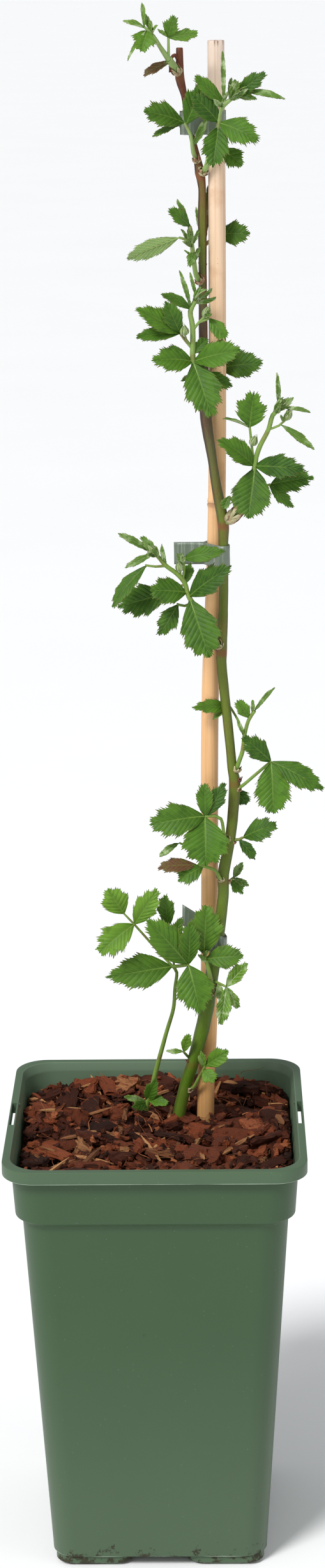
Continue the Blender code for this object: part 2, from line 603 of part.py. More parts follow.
def chip(draw, x, y, size, height, cutters):
    """One bark chip: a box with its corners pushed about, lying tilted with its middle at a height."""
    bm = bmesh.new()
    bmesh.ops.create_cube(bm, size=1.0)
    for vert in bm.verts:
        for axis, limits in enumerate(CHIP_SHRINK):
            vert.co[axis] *= size[axis] * draw.uniform(*limits)
    turn = Matrix.Rotation(draw.uniform(0, math.tau), 4, "Z")
    lean = (Matrix.Rotation(draw.gauss(0, CHIP_LEAN[0]), 4, "X")
            @ Matrix.Rotation(draw.gauss(0, CHIP_LEAN[1]), 4, "Y"))
    bmesh.ops.transform(bm, matrix=turn @ lean, verts=bm.verts)
    top = max(v.co.z for v in bm.verts)
    middle = min(height, CHIP_HIGHEST - top, MULCH_TOP - CHIP_SUNK + top)
    reach_x = max(abs(v.co.x) for v in bm.verts)
    reach_y = max(abs(v.co.y) for v in bm.verts)
    edge = COLLAR_HALF_LOW - INSET - CHIP_WALL_GAP
    x = max(-edge + reach_x, min(edge - reach_x, x))
    y = max(-edge + reach_y, min(edge - reach_y, y))
    corner = edge - RIM_CORNER
    past_x, past_y = (max(0, abs(v) + reach - corner) for v, reach in ((x, reach_x), (y, reach_y)))
    if math.hypot(past_x, past_y) > RIM_CORNER - 2 * CHIP_WALL_GAP:
        x, y = x * CORNER_PULL, y * CORNER_PULL
    bmesh.ops.translate(bm, vec=(x, y, middle), verts=bm.verts)
    for vert in bm.verts:
        vert.co.z = max(vert.co.z, CHIP_LOWEST)
    bmesh.ops.scale(bm, vec=(MM, MM, MM), verts=bm.verts)
    return add_object("chip", mesh_from("chip", bm), cutters)


def build_mulch(parts, cutters, material, holes):
    levels = (SOIL_TOP + GAP, MULCH_TOP)
    mulch = add_object("bark_mulch",
                       loft("mulch", [rounded_square(outside_half(z) - INSET, corner_at(z), z)
                                      for z in levels]),
                       parts, material)
    draw = random.Random(7)
    golden = math.pi * (3 - math.sqrt(5))
    for i in range(CHIP_COUNT):
        reach = math.sqrt((i + 0.5) / CHIP_COUNT) * CHIP_REACH
        turned = (math.cos(i * golden), math.sin(i * golden))
        x, y = (max(-1, min(1, reach * share)) * CHIP_FIELD + draw.uniform(-CHIP_SHIFT, CHIP_SHIFT)
                for share in turned)
        off = [(value - middle) / spread
               for value, middle, spread in zip((x, y), FOOT_HOLLOW, HOLLOW_SPREAD)]
        hollow = HOLLOW_DEPTH * math.exp(-off[0] ** 2 - off[1] ** 2)
        size = [draw.uniform(*limits) for limits in (CHIP_LENGTH, CHIP_WIDTH, CHIP_THICK)]
        chip(draw, x, y, size, MULCH_TOP + draw.uniform(*CHIP_RISE) - hollow, cutters)
    apply_boolean(mulch, "UNION", cutters)
    holes(cutters)
    apply_boolean(mulch, "DIFFERENCE", cutters)
    return mulch


# Bamboo cane and main stem


def cane_path():
    """The cane's middle line, with a low ring where the bamboo has its node."""
    rows = smooth_path(CANE, CANE_STEP)
    ring = []
    for rise, swell in CANE_NODE_RING:
        x, y, z, radius = at_height(rows, CANE_NODE_Z + rise)
        ring.append((x, y, z, radius + swell))
    clear = [row for row in rows if abs(row[2] - CANE_NODE_Z) > 2 * CANE_NODE_RING[-1][0]]
    return sorted(clear + ring, key=lambda row: row[2])


# Leaves, buds and shoots


def nearest_on(stalks, place):
    """The nearest point to place on any stalk's middle line."""
    best = None
    for stalk in stalks:
        rows = stalk_rows(stalk, 1.0)
        for row in rows:
            gap = (point(row) - place).length
            if best is None or gap < best[0]:
                best = (gap, point(row))
    return best[1]


def blade(name, root, tip, width, turn, collection):
    """A toothed, arched and pleated leaflet, as one closed blade of even thickness.

    It is a grid with one or two columns. Its even rows are the notches and its odd rows the teeth,
    and the midrib only keeps a point at each notch.
    """
    along = (tip - root).normalized()
    length = (tip - root).length
    across = along.cross(FACING).normalized()
    normal = across.cross(along).normalized()
    spin = Matrix.Rotation(math.radians(turn), 3, along)
    across, normal = spin @ across, spin @ normal
    rows = 2 * (2 + sum(width > limit for limit in TOOTH_WIDTHS))
    middle = width > NARROW_BLADE
    bm = bmesh.new()
    bmesh.ops.create_grid(bm, x_segments=2 if middle else 1, y_segments=rows, size=1.0)
    grid = {}
    for vert in bm.verts:
        side = round(vert.co.x)
        row = round((vert.co.y + 1) / 2 * rows)
        grid[side, row] = vert
        u = row / rows
        tooth = row % 2 == 1
        shape = math.sin(math.pi * u ** BLADE_SKEW) ** BLADE_FULL if 0 < row < rows else 0.0
        half = max(ROOT_HALF * MM, width * MM / 2 * shape * (TOOTH_OUT if tooth else NOTCH_IN))
        place_u = u
        rise = BLADE_ARCH * length * 4 * u * (1 - u)
        if side:
            shift = TOOTH_SHIFT if tooth else NOTCH_SHIFT
            place_u += (VEIN_SLANT + shift / rows) * math.sin(math.pi * u)
            pleat = BLADE_PLEAT * MM * min(1.0, width / FULL_PLEAT_WIDTH)
            rise += BLADE_FOLD * half + (-pleat if tooth else pleat) * shape
        vert.co = (root + along * (place_u * length) + across * (side * half) + normal * rise)
    end = grid[0 if middle else -1, rows]
    end.co = tip
    welds = {grid[side, rows]: end for side in (-1, 1) if grid[side, rows] is not end}
    if middle:
        welds.update({grid[0, row]: grid[0, row - 1] for row in range(1, rows, 2)})
    bmesh.ops.weld_verts(bm, targetmap=welds)
    bmesh.ops.triangulate(bm, faces=bm.faces, quad_method="FIXED")
    made = bmesh.ops.extrude_face_region(bm, geom=bm.faces[:], use_keep_orig=True)
    lifted = [g for g in made["geom"] if isinstance(g, bmesh.types.BMVert)]
    bmesh.ops.translate(bm, vec=normal * -(BLADE_THICK * MM), verts=lifted)
    return add_object(name, mesh_from(name, bm), collection)


def bud(root, tip, radius, collection):
    """A pointed flower bud: a low sphere drawn out to a tip."""
    bm = bmesh.new()
    bmesh.ops.create_uvsphere(bm, u_segments=6, v_segments=4, radius=1.0)
    axis = tip - root
    aim = axis.to_track_quat("Z", "Y").to_matrix()
    for vert in bm.verts:
        x, y, z = vert.co
        squeeze = radius * MM * (1.0 - BUD_PINCH * max(0.0, z) ** 2)
        shaped = Vector((x * squeeze, y * squeeze, z * axis.length * BUD_DRAWN))
        vert.co = aim @ shaped + (root + tip) / 2
    return add_object("bud", mesh_from("bud", bm), collection)


def build_shoot(name, plan, parts, cutters, seats, material):
    stalks, leaves, buds = plan
    pieces = [tube("stalk", stalk_rows(stalk), cutters, 1 if stalk[0] > THICK_STALK else 0)
              for stalk in stalks]
    for root, tip, width, turn in leaves:
        foot = nearest_on(stalks, point(root))
        blade("leaf", foot, point(tip), width, turn, cutters)
    for root, tip, radius in buds:
        bud(nearest_on(stalks, point(root)), point(tip), radius, cutters)
    shoot = pieces[0]
    cutters.objects.unlink(shoot)
    parts.objects.link(shoot)
    shoot.name = name
    if len(cutters.objects):
        apply_boolean(shoot, "UNION", cutters)
    seats(cutters)
    apply_boolean(shoot, "DIFFERENCE", cutters)
    shoot.data.materials.clear()
    shoot.data.materials.append(material)
    return shoot


# Tape ties


def tape_outline(rods, pinch_x, pinch_y, tail):
    """Plan of a tape: one tail, the taut way round both upright rods, and the other tail."""
    layer = (TAPE_THICK + GAP) / 2
    front, back = (pinch_x, pinch_y - layer), (pinch_x, pinch_y + layer)
    touched = [front, back]
    for x, y, radius in rods:
        for i in range(TAPE_SIDES):
            angle = math.tau * i / TAPE_SIDES
            touched.append((x + radius * math.cos(angle), y + radius * math.sin(angle)))
    ring = [touched[i] for i in convex_hull_2d(touched)]
    start = ring.index(front)
    ring = ring[start:] + ring[:start]
    if ring[1] == back:
        ring = ring[:1] + ring[:0:-1]
    return [(pinch_x - tail, front[1]), *ring, (pinch_x - tail, back[1])]


def build_tie(name, parts, material):
    middle, slope, tail = TIES[name]
    rods = []
    for rows in (CANE, STEM):
        x, y, _, radius = at_height(rows, middle)
        lean = max(math.dist(at_height(rows, middle + s * TAPE_WIDTH / 2)[:2], (x, y)) for s in (-1, 1))
        rods.append((x, y, radius + lean + TAPE_SLACK + TAPE_THICK / 2))
    left = min(rods, key=lambda c: c[0] - c[2])
    pinch_x, pinch_y = left[0] - left[2] - PINCH_ROOM, left[1]
    bm = bmesh.new()
    columns = []
    for x, y in tape_outline(rods, pinch_x, pinch_y, tail):
        z = middle + slope * (x - rods[0][0])
        columns.append([bm.verts.new(point((x, y, z + s * TAPE_WIDTH / 2))) for s in (-1, 1)])
    for (a, b), (c, d) in zip(columns, columns[1:]):
        bm.faces.new((a, c, d, b))
    tie = add_object(name, mesh_from(name, bm), parts, material)
    thick = tie.modifiers.new("thickness", "SOLIDIFY")
    thick.thickness = TAPE_THICK * MM
    thick.offset = 0.0
    return pinch_x, pinch_y


def build_staple(name, pinch, height, parts, material):
    """A wire staple whose crown lies on the front of the pinched tape."""
    x, y = pinch
    front = y - GAP / 2 - TAPE_THICK - GAP - STAPLE_WIRE / 2
    rows = [(x - PINCH_ROOM, front, height + s * STAPLE_SPAN / 2, STAPLE_WIRE / 2) for s in (-1, 1)]
    staple = tube(name, rows, parts, 1)
    staple.data.materials.append(material)
    return staple


def build():
    clear_scene()
    parts = new_collection("potted_bramble")
    cutters = new_collection("cutters")
    materials = {name: make_material(name) for name in COLOURS}
    cane_rows = cane_path()
    sucker_rows = stalk_rows(SUCKER_RADII + SUCKER)

    def holes(collection):
        add_hole(cane_rows, collection, 2)
        add_hole(STEM, collection, 2)
        add_hole(sucker_rows, collection, 1)

    def seats(collection):
        tube("seat", STEM, collection, 2, GAP)

    build_pot(parts, cutters, materials["pot_green"])
    build_soil(parts, cutters, materials["soil_brown"], holes)
    build_mulch(parts, cutters, materials["bark_red"], holes)
    cane = tube("bamboo_cane", cane_rows, parts, 2)
    cane.data.materials.append(materials["bamboo"])
    stem = tube("main_stem", STEM, parts, 2)
    stem.data.materials.append(materials["stem_green"])
    for name, plan in SHOOTS.items():
        build_shoot(name, plan, parts, cutters, seats, materials["leaf_green"])
    for name, (height, _, _) in TIES.items():
        pinch = build_tie(name, parts, materials["tape_olive"])
        build_staple(name.replace("tie", "staple"), pinch, height, parts, materials["staple_steel"])
    bpy.context.scene.collection.children.unlink(cutters)


build()
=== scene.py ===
"""The looks of a potted bramble: nursery pot, bark mulch, bamboo cane, tied stem, shoots and sucker.

Metres, +Z up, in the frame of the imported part. Lengths below are in millimetres, times MM.
"""
import json
import math
import random

import bmesh
import bpy
from mathutils import Matrix, Vector, noise
from mathutils.geometry import convex_hull_2d

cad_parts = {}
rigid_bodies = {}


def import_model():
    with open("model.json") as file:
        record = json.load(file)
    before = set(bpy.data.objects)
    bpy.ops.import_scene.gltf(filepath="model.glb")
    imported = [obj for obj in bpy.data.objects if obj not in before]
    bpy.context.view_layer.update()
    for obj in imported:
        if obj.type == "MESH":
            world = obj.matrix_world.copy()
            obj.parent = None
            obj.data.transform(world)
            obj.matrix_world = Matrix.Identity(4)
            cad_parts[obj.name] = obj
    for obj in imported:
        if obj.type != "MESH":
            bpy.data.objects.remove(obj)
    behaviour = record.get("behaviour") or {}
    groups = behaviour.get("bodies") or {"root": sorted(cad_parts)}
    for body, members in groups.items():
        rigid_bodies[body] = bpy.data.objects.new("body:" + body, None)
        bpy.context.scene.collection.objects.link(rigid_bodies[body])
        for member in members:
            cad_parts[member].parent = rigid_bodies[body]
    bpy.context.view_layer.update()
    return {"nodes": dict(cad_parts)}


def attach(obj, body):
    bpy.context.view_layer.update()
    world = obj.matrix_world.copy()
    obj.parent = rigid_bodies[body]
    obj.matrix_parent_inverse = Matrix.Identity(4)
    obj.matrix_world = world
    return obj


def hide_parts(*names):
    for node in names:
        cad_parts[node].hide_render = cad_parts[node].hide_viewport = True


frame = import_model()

MM = 0.001


# The nursery pot
# A square deep pot for young plants, of thin dark green polypropylene. It is injection moulded in
# one shot: tapered body, stepped collar, folded lip with two label slots, and four low corner feet.

POT_HEIGHT = 228.0
POT_WALL = 1.0
FOOT_HEIGHT = 6.0
POT_FLOOR = 1.5
BASE_HALF = 54.9
SHOULDER_HALF, SHOULDER_Z, SHOULDER_RISE = 65.95, 195.1, 2.9
COLLAR_HALF_LOW, COLLAR_HALF_HIGH = 69.25, 70.85
LIP_HALF, LIP_DROP, LIP_THICK = 75.0, 6.5, 1.4
FLARE, FLARE_DROP = 1.4, 4.5
# The plastic is this thick across a step of the wall and round a label slot
STEP_WALL = 0.8
RIM_CORNER, BASE_CORNER, CORNER_STEPS = 16.0, 12.0, 14
EDGE_REACH, EDGE_STEPS = 0.55, 3
FOOT_INNER, FOOT_OUTER, FOOT_CORNER, FOOT_CHAMFER = 13.5, 53.4, 8.0, 2.0
PAD_RADIUS = 8.0
LABEL_SLOT = (2.3, 29.0)
DRAIN_SLOT, DRAIN_FROM_CENTRE = (16.0, 3.4), 31.0
# How far the feet sink into the floor above them, and how far a cut goes past what it cuts
SUNK, PAST = 0.7, 2.0
FLASH_REACH, FLASH_STEP = 0.22, 1.5


def paint(red, green, blue):
    """A linear colour from the 0 to 255 values of a paint chart."""
    return (*[((v / 255 + 0.055) / 1.055) ** 2.4 for v in (red, green, blue)], 1.0)


def add(tree, kind, feeds=None, **settings):
    """A shader node with its settings, each input fed by a value or by another node's output."""
    node = tree.nodes.new("ShaderNode" + kind)
    for key, value in settings.items():
        setattr(node, key, value)
    for socket, feed in (feeds or {}).items():
        if isinstance(feed, bpy.types.NodeSocket):
            tree.links.new(feed, node.inputs[socket])
        else:
            node.inputs[socket].default_value = feed
    return node


def calc(tree, operation, *values):
    return add(tree, "Math", dict(enumerate(values)), operation=operation, use_clamp=True).outputs[0]


def count(tree, operation, *values):
    return add(tree, "Math", dict(enumerate(values)), operation=operation).outputs[0]


def mix(tree, mask, first, second):
    return add(tree, "Mix", {0: mask, 6: first, 7: second}, data_type="RGBA").outputs[2]


def stain(tree, colour, *layers):
    """A colour with others laid over it. Each layer is (mask, strength, paint chart colour)."""
    for mask, strength, chart in layers:
        colour = mix(tree, calc(tree, "MULTIPLY", mask, strength), colour, paint(*chart))
    return colour


def rise(tree, value, low, high):
    """0 below low and 1 above high (or the other way round), smooth between them."""
    node = add(tree, "MapRange", {"Value": value, "From Min": low, "From Max": high},
               interpolation_type="SMOOTHSTEP")
    return node.outputs["Result"]


def shift(tree, value, low, high):
    """A mask spread over a range of numbers, for roughness."""
    return add(tree, "MapRange", {"Value": value, "To Min": low, "To Max": high}).outputs["Result"]


def clouds(tree, place, scale, detail=4.0, roughness=0.55):
    return add(tree, "TexNoise", {"Vector": place, "Scale": scale, "Detail": detail,
                                  "Roughness": roughness}).outputs[0]


def ramp(tree, value, *stops):
    """A colour ramp over stops of (position, paint chart colour)."""
    node = add(tree, "ValToRGB", {"Fac": value})
    marks = node.color_ramp.elements
    while len(marks) < len(stops):
        marks.new(1.0)
    for mark, (position, chart) in zip(marks, stops):
        mark.position = position
        mark.color = paint(*chart)
    return node.outputs["Color"]


def new_group(name, inputs, outputs):
    """A shader node group and its input node. Inputs are (name, socket type, default)."""
    tree = bpy.data.node_groups.new(name, "ShaderNodeTree")
    for label, kind, value in inputs:
        socket = tree.interface.new_socket(label, in_out="INPUT", socket_type="NodeSocket" + kind)
        if value is not None:
            socket.default_value = value
    for label, kind in outputs:
        tree.interface.new_socket(label, in_out="OUTPUT", socket_type="NodeSocket" + kind)
    return tree, tree.nodes.new("NodeGroupInput").outputs


def end_group(tree, **results):
    end = tree.nodes.new("NodeGroupOutput")
    for label, socket in results.items():
        tree.links.new(socket, end.inputs[label])


def use(tree, group, **feeds):
    return add(tree, "Group", feeds={key.replace("_", " "): value for key, value in feeds.items()},
               node_tree=group).outputs


def new_finish(name, **sockets):
    """A material, its tree and its shader, which holds the numbers that are the same all over."""
    material = bpy.data.materials.new(name)
    material.use_nodes = True
    shader = material.node_tree.nodes["Principled BSDF"]
    for socket, value in sockets.items():
        shader.inputs[socket.replace("_", " ")].default_value = value
    return material, material.node_tree, shader


def wire(tree, shader, **feeds):
    for socket, feed in feeds.items():
        tree.links.new(feed, shader.inputs[socket.replace("_", " ")])


def where(tree):
    """Places on the piece in metres."""
    return add(tree, "TexCoord").outputs["Object"]


def split(tree, vector):
    return add(tree, "SeparateXYZ", {0: vector}).outputs


# Fine relief, soft clouds and stray specks, which nearly every surface here has
wear_tree, wear_in = new_group(
    "surface_wear",
    (("Place", "Vector", None), ("Cloud Scale", "Float", 20.0), ("Speck Scale", "Float", 300.0),
     ("Speck Size", "Float", 0.12), ("Relief Scale", "Float", 900.0), ("Relief Depth", "Float", 0.1)),
    (("Clouds", "Float"), ("Specks", "Float"), ("Normal", "Vector")))
cells = add(wear_tree, "TexVoronoi", {"Vector": wear_in["Place"], "Scale": wear_in["Speck Scale"]})
rare = rise(wear_tree, add(wear_tree, "SeparateColor", {0: cells.outputs["Color"]}).outputs[0], 0.72, 0.8)
near = rise(wear_tree, cells.outputs["Distance"], wear_in["Speck Size"], 0.0)
relief = clouds(wear_tree, wear_in["Place"], wear_in["Relief Scale"], 5.0, 0.6)
bump = add(wear_tree, "Bump", {"Strength": wear_in["Relief Depth"], "Distance": 0.0004, "Height": relief})
end_group(wear_tree,
          Clouds=clouds(wear_tree, wear_in["Place"], wear_in["Cloud Scale"], 6.0, 0.6),
          Specks=calc(wear_tree, "MULTIPLY", rare, near),
          Normal=bump.outputs["Normal"])

# Grain, broad and fine, drawn out along a piece
grain_tree, grain_in = new_group(
    "long_grain",
    (("Place", "Vector", None), ("Stretch", "Vector", (1.0, 1.0, 1.0)), ("Depth", "Float", 0.3)),
    (("Grain", "Float"), ("Fine", "Float"), ("Normal", "Vector")))
drawn = add(grain_tree, "VectorMath", {0: grain_in["Place"], 1: grain_in["Stretch"]},
            operation="MULTIPLY").outputs[0]
broad = clouds(grain_tree, drawn, 1.0, 3.0, 0.5)
fine = clouds(grain_tree, drawn, 4.0, 5.0, 0.65)
both = count(grain_tree, "ADD", broad, count(grain_tree, "MULTIPLY", fine, 0.6))
ridges = add(grain_tree, "Bump", {"Strength": grain_in["Depth"], "Distance": 0.0006, "Height": both})
end_group(grain_tree, Grain=broad, Fine=fine, Normal=ridges.outputs["Normal"])


def worn_finish(name, colour_of, rough, wear, grain=None, alpha=None, **sockets):
    """A material with wear, and with grain if it has one. colour_of makes its colour from their
    masks. Its relief is that of the grain where a depth is given for it, and else of the wear."""
    material, tree, shader = new_finish(name, **sockets)
    place = where(tree)
    masks = {"Place": place, **dict(use(tree, wear_tree, Place=place, **wear).items())}
    if grain:
        lines = use(tree, grain_tree, Place=place, **grain)
        masks["Grain"], masks["Fine"] = lines["Grain"], lines["Fine"]
        if "Depth" in grain:
            masks["Normal"] = lines["Normal"]
    wire(tree, shader, Base_Color=colour_of(tree, masks), Normal=masks["Normal"],
         Roughness=shift(tree, masks["Clouds"], *rough))
    if alpha:
        wire(tree, shader, Alpha=shift(tree, masks["Clouds"], *alpha))
    return material


def new_piece(name, bm, slot, *materials):
    """A named object from a bmesh, in the scene and with its materials."""
    mesh = bpy.data.meshes.new(name)
    bm.to_mesh(mesh)
    bm.free()
    piece = bpy.data.objects.new(name, mesh)
    bpy.context.scene.collection.objects.link(piece)
    for material in materials:
        mesh.materials.append(material)
    if slot:
        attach(piece, "root")
    return piece


def shade(piece, degrees):
    """Smooth shading, with hard edges where the surface turns by more than the angle."""
    piece.data.shade_smooth()
    piece.data.set_sharp_from_angle(angle=math.radians(degrees))


def rounded_square(half, corner, z, steps=CORNER_STEPS):
    """A level loop of points in metres."""
    inner = half - corner
    loop = []
    for quarter, (side_x, side_y) in enumerate(((1, 1), (-1, 1), (-1, -1), (1, -1))):
        for i in range(steps + 1):
            angle = math.radians(90 * (quarter + i / steps))
            loop.append(Vector((side_x * inner + corner * math.cos(angle),
                                side_y * inner + corner * math.sin(angle), z)) * MM)
    return loop


def corner_at(z):
    return BASE_CORNER + (RIM_CORNER - BASE_CORNER) * z / POT_HEIGHT


def skin(bm, rows, closed=True, flip=False, capped=False):
    """Faces between rows of points, which run round if they are closed. Flip turns the skin over,
    and a capped one has its first and last row filled."""
    for low, high in zip(rows, rows[1:]):
        for i in range(len(low) if closed else len(low) - 1):
            j = (i + 1) % len(low)
            corners = (low[i], high[i], high[j], low[j]) if flip else (low[i], low[j], high[j], high[i])
            bm.faces.new(corners)
    if capped:
        bm.faces.new(rows[0] if flip else rows[0][::-1])
        bm.faces.new(rows[-1][::-1] if flip else rows[-1])


def loft(loops):
    """One closed skin over loops of equal length, with its first and last loop filled."""
    bm = bmesh.new()
    rings = [[bm.verts.new(p) for p in loop] for loop in loops]
    skin(bm, rings)
    bm.faces.new(rings[0])
    bm.faces.new(rings[-1])
    bmesh.ops.recalc_face_normals(bm, faces=bm.faces)
    return bm


def soften(profile):
    """A (half width, height) profile with each of its corners rounded by a short curve."""
    points = [Vector(p) for p in profile]
    out = [points[0]]
    for before, corner, after in zip(points, points[1:], points[2:]):
        reach = [min(EDGE_REACH, (p - corner).length / 2.1) for p in (before, after)]
        start = corner + (before - corner).normalized() * reach[0]
        end = corner + (after - corner).normalized() * reach[1]
        for i in range(EDGE_STEPS + 1):
            t = i / EDGE_STEPS
            out.append(start * (1 - t) ** 2 + corner * (2 * t * (1 - t)) + end * t * t)
    return out + [points[-1]]


def box_mesh(low, high):
    bm = bmesh.new()
    bmesh.ops.create_cube(bm, size=1.0)
    low, high = Vector(low) * MM, Vector(high) * MM
    bmesh.ops.scale(bm, vec=high - low, verts=bm.verts)
    bmesh.ops.translate(bm, vec=(low + high) / 2, verts=bm.verts)
    return bm


def carve(piece, operation, shapes):
    """Joins or cuts a piece with bmesh shapes, for good."""
    tools = bpy.data.collections.new("tools")
    bpy.context.scene.collection.children.link(tools)
    for shape in shapes:
        mesh = bpy.data.meshes.new("tool")
        shape.to_mesh(mesh)
        shape.free()
        tools.objects.link(bpy.data.objects.new("tool", mesh))
    step = piece.modifiers.new("carve", "BOOLEAN")
    step.operation = operation
    step.operand_type = "COLLECTION"
    step.collection = tools
    graph = bpy.context.evaluated_depsgraph_get()
    piece.data = bpy.data.meshes.new_from_object(piece.evaluated_get(graph))
    piece.modifiers.remove(step)
    for used in list(tools.objects):
        bpy.data.objects.remove(used, do_unlink=True)
    bpy.data.collections.remove(tools)


def pot_profile():
    floor = FOOT_HEIGHT + POT_FLOOR
    collar_low = SHOULDER_Z + SHOULDER_RISE
    skirt_in = LIP_HALF - POT_WALL
    lip_under = POT_HEIGHT - LIP_THICK
    lip_low = POT_HEIGHT - LIP_DROP
    inner = [(BASE_HALF, floor), (SHOULDER_HALF, SHOULDER_Z + STEP_WALL),
             (COLLAR_HALF_LOW, collar_low + STEP_WALL), (COLLAR_HALF_HIGH, POT_HEIGHT - FLARE_DROP),
             (COLLAR_HALF_HIGH + FLARE, POT_HEIGHT)]
    inside = [(half - POT_WALL, z) for half, z in reversed(inner)]
    return soften([
        (BASE_HALF - 4, FOOT_HEIGHT), (BASE_HALF, FOOT_HEIGHT), (SHOULDER_HALF, SHOULDER_Z),
        (COLLAR_HALF_LOW, collar_low), (COLLAR_HALF_HIGH, POT_HEIGHT - FLARE_DROP),
        (COLLAR_HALF_HIGH + FLARE, lip_under), (skirt_in, lip_under), (skirt_in, lip_low),
        (LIP_HALF, lip_low), (LIP_HALF, POT_HEIGHT), *inside, (BASE_HALF - 6, floor)])


def pot_foot(side_x, side_y):
    half = (FOOT_OUTER - FOOT_INNER) / 2
    middle = Vector((side_x, side_y, 0)) * (FOOT_OUTER + FOOT_INNER) / 2 * MM
    levels = ((half - FOOT_CHAMFER, 0), (half, FOOT_CHAMFER), (half, FOOT_HEIGHT + SUNK))
    return loft([[p + middle for p in rounded_square(wide, FOOT_CORNER, z, 6)] for wide, z in levels])


def flash_bead(draw, half, corner, z):
    """The thin ragged edge that the mould leaves: a bead that swells and fades along a loop."""
    loop = rounded_square(half, corner, z)
    path = []
    for start, end in zip(loop, loop[1:] + loop[:1]):
        parts = max(1, round((end - start).length / MM / FLASH_STEP))
        path += [start.lerp(end, i / parts) for i in range(parts)]
    bm = bmesh.new()
    rings = []
    for p in path:
        out = Vector((p.x, p.y, 0)).normalized()
        size = FLASH_REACH * MM * (0.25 + max(0.0, noise.noise(p * 70) + 0.35) + draw.uniform(0, 0.15))
        rings.append([bm.verts.new(p + out * size * a + Vector((0, 0, size * b)))
                      for a, b in ((-0.5, 0), (0.3, -0.8), (1.0, 0), (0.3, 0.8))])
    skin(bm, rings + rings[:1])
    bmesh.ops.recalc_face_normals(bm, faces=bm.faces)
    return bm


def pot_finish():
    material, tree, shader = new_finish("moulded_green_plastic", Specular_IOR_Level=0.32)
    place = where(tree)
    x, y, z = split(tree, place)
    wear = use(tree, wear_tree, Place=place, Cloud_Scale=14.0, Speck_Scale=420.0, Speck_Size=0.10,
               Relief_Scale=1500.0, Relief_Depth=0.10)
    # The inside of the collar keeps a pale bloom of dried water, and the whole lip is painted paler all round
    # as a highlight
    facing_x, facing_y, _ = split(tree, add(tree, "NewGeometry").outputs["Normal"])
    outward = count(tree, "ADD", count(tree, "MULTIPLY", facing_x, x),
                    count(tree, "MULTIPLY", facing_y, y))
    water_bloom_and_lip_highlight = calc(tree, "MULTIPLY", rise(tree, outward, -0.005, -0.03), rise(tree, z, 0.17, 0.20))
    # Painted highlight: the lip, the top few millimetres of the pot, is paler
    water_bloom_and_lip_highlight = calc(tree, "MAXIMUM", water_bloom_and_lip_highlight, calc(tree, "MULTIPLY", rise(tree, z, 0.2205, 0.2225), 0.4))
    # The body is paler towards the foot, from dust and a painted reflection of the floor, and potting dirt
    # sticks round the base and the feet
    dust_and_floor_reflection = rise(tree, z, 0.16, 0.0)
    low = calc(tree, "MULTIPLY", rise(tree, z, 0.020, 0.0), 0.20)
    dirt = rise(tree, count(tree, "ADD", clouds(tree, place, 130.0, 8.0, 0.75), low), 0.66, 0.72)
    spatter = use(tree, wear_tree, Place=place, Speck_Scale=170.0, Speck_Size=0.20)["Specks"]
    spatter = calc(tree, "MULTIPLY", spatter, rise(tree, z, 0.034, 0.004))
    soil_dots = use(tree, wear_tree, Place=place, Speck_Scale=260.0, Speck_Size=0.07)["Specks"]
    green = stain(
        tree, mix(tree, wear["Clouds"], paint(52, 77, 49), paint(60, 86, 56)),
        (dust_and_floor_reflection, 0.22, (112, 128, 108)), (water_bloom_and_lip_highlight, 0.5, (118, 138, 116)), (dirt, 0.8, (50, 36, 26)),
        (spatter, 0.8, (60, 54, 34)), (wear["Specks"], 0.5, (176, 186, 170)),
        (soil_dots, 0.6, (44, 42, 30)))
    matt = calc(tree, "MAXIMUM", dirt, calc(tree, "MULTIPLY", wear["Specks"], 0.5))
    matt = calc(tree, "ADD", matt, calc(tree, "MULTIPLY", wear["Clouds"], 0.25))
    wire(tree, shader, Base_Color=green, Roughness=shift(tree, matt, 0.36, 0.8), Normal=wear["Normal"])
    return material


pot_loops = [rounded_square(half, corner_at(z), z) for half, z in pot_profile()]
pot = new_piece("pot_shell", loft(pot_loops), "pot_plastic", pot_finish())
pad = bmesh.new()
pad_height = FOOT_HEIGHT + SUNK
bmesh.ops.create_cone(pad, cap_ends=True, segments=28, radius1=PAD_RADIUS * MM, radius2=PAD_RADIUS * MM,
                      depth=pad_height * MM, matrix=Matrix.Translation((0, 0, pad_height / 2 * MM)))
slot_ends = []
for side in (-1, 1):
    across = sorted((side * (COLLAR_HALF_HIGH - POT_WALL / 2), side * (LIP_HALF - POT_WALL / 2)))
    slot_ends.append(box_mesh((across[0], LABEL_SLOT[1] / 2, POT_HEIGHT - LIP_DROP + STEP_WALL),
                              (across[1], LABEL_SLOT[1] / 2 + LIP_THICK, POT_HEIGHT - STEP_WALL)))
carve(pot, "UNION", [pad, *slot_ends, *(pot_foot(x, y) for x in (-1, 1) for y in (-1, 1))])
cuts = []
for side in (-1, 1):
    across = sorted(side * (LIP_HALF - STEP_WALL - part) for part in (0, LABEL_SLOT[0]))
    cuts.append(box_mesh((across[0], -LABEL_SLOT[1] / 2, POT_HEIGHT - LIP_THICK - PAST),
                         (across[1], LABEL_SLOT[1] / 2, POT_HEIGHT + PAST)))
    long, narrow = (size / 2 for size in DRAIN_SLOT)
    for reach_x, reach_y in ((long, narrow), (narrow, long)):
        along_x = side * DRAIN_FROM_CENTRE if reach_x > reach_y else 0.0
        along_y = side * DRAIN_FROM_CENTRE if reach_x < reach_y else 0.0
        cuts.append(box_mesh((along_x - reach_x, along_y - reach_y, FOOT_HEIGHT - PAST),
                             (along_x + reach_x, along_y + reach_y, FOOT_HEIGHT + POT_FLOOR + PAST)))
carve(pot, "DIFFERENCE", cuts)
shade(pot, 32)
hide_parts("pot")
flash_draw = random.Random(3)
edge_finish = worn_finish(
    "trimmed_plastic_edge",
    lambda tree, mask: mix(tree, mask["Clouds"], paint(120, 142, 118), paint(170, 186, 166)),
    rough=(0.4, 0.6), wear=dict(Cloud_Scale=120.0, Relief_Depth=0.2), Specular_IOR_Level=0.5)
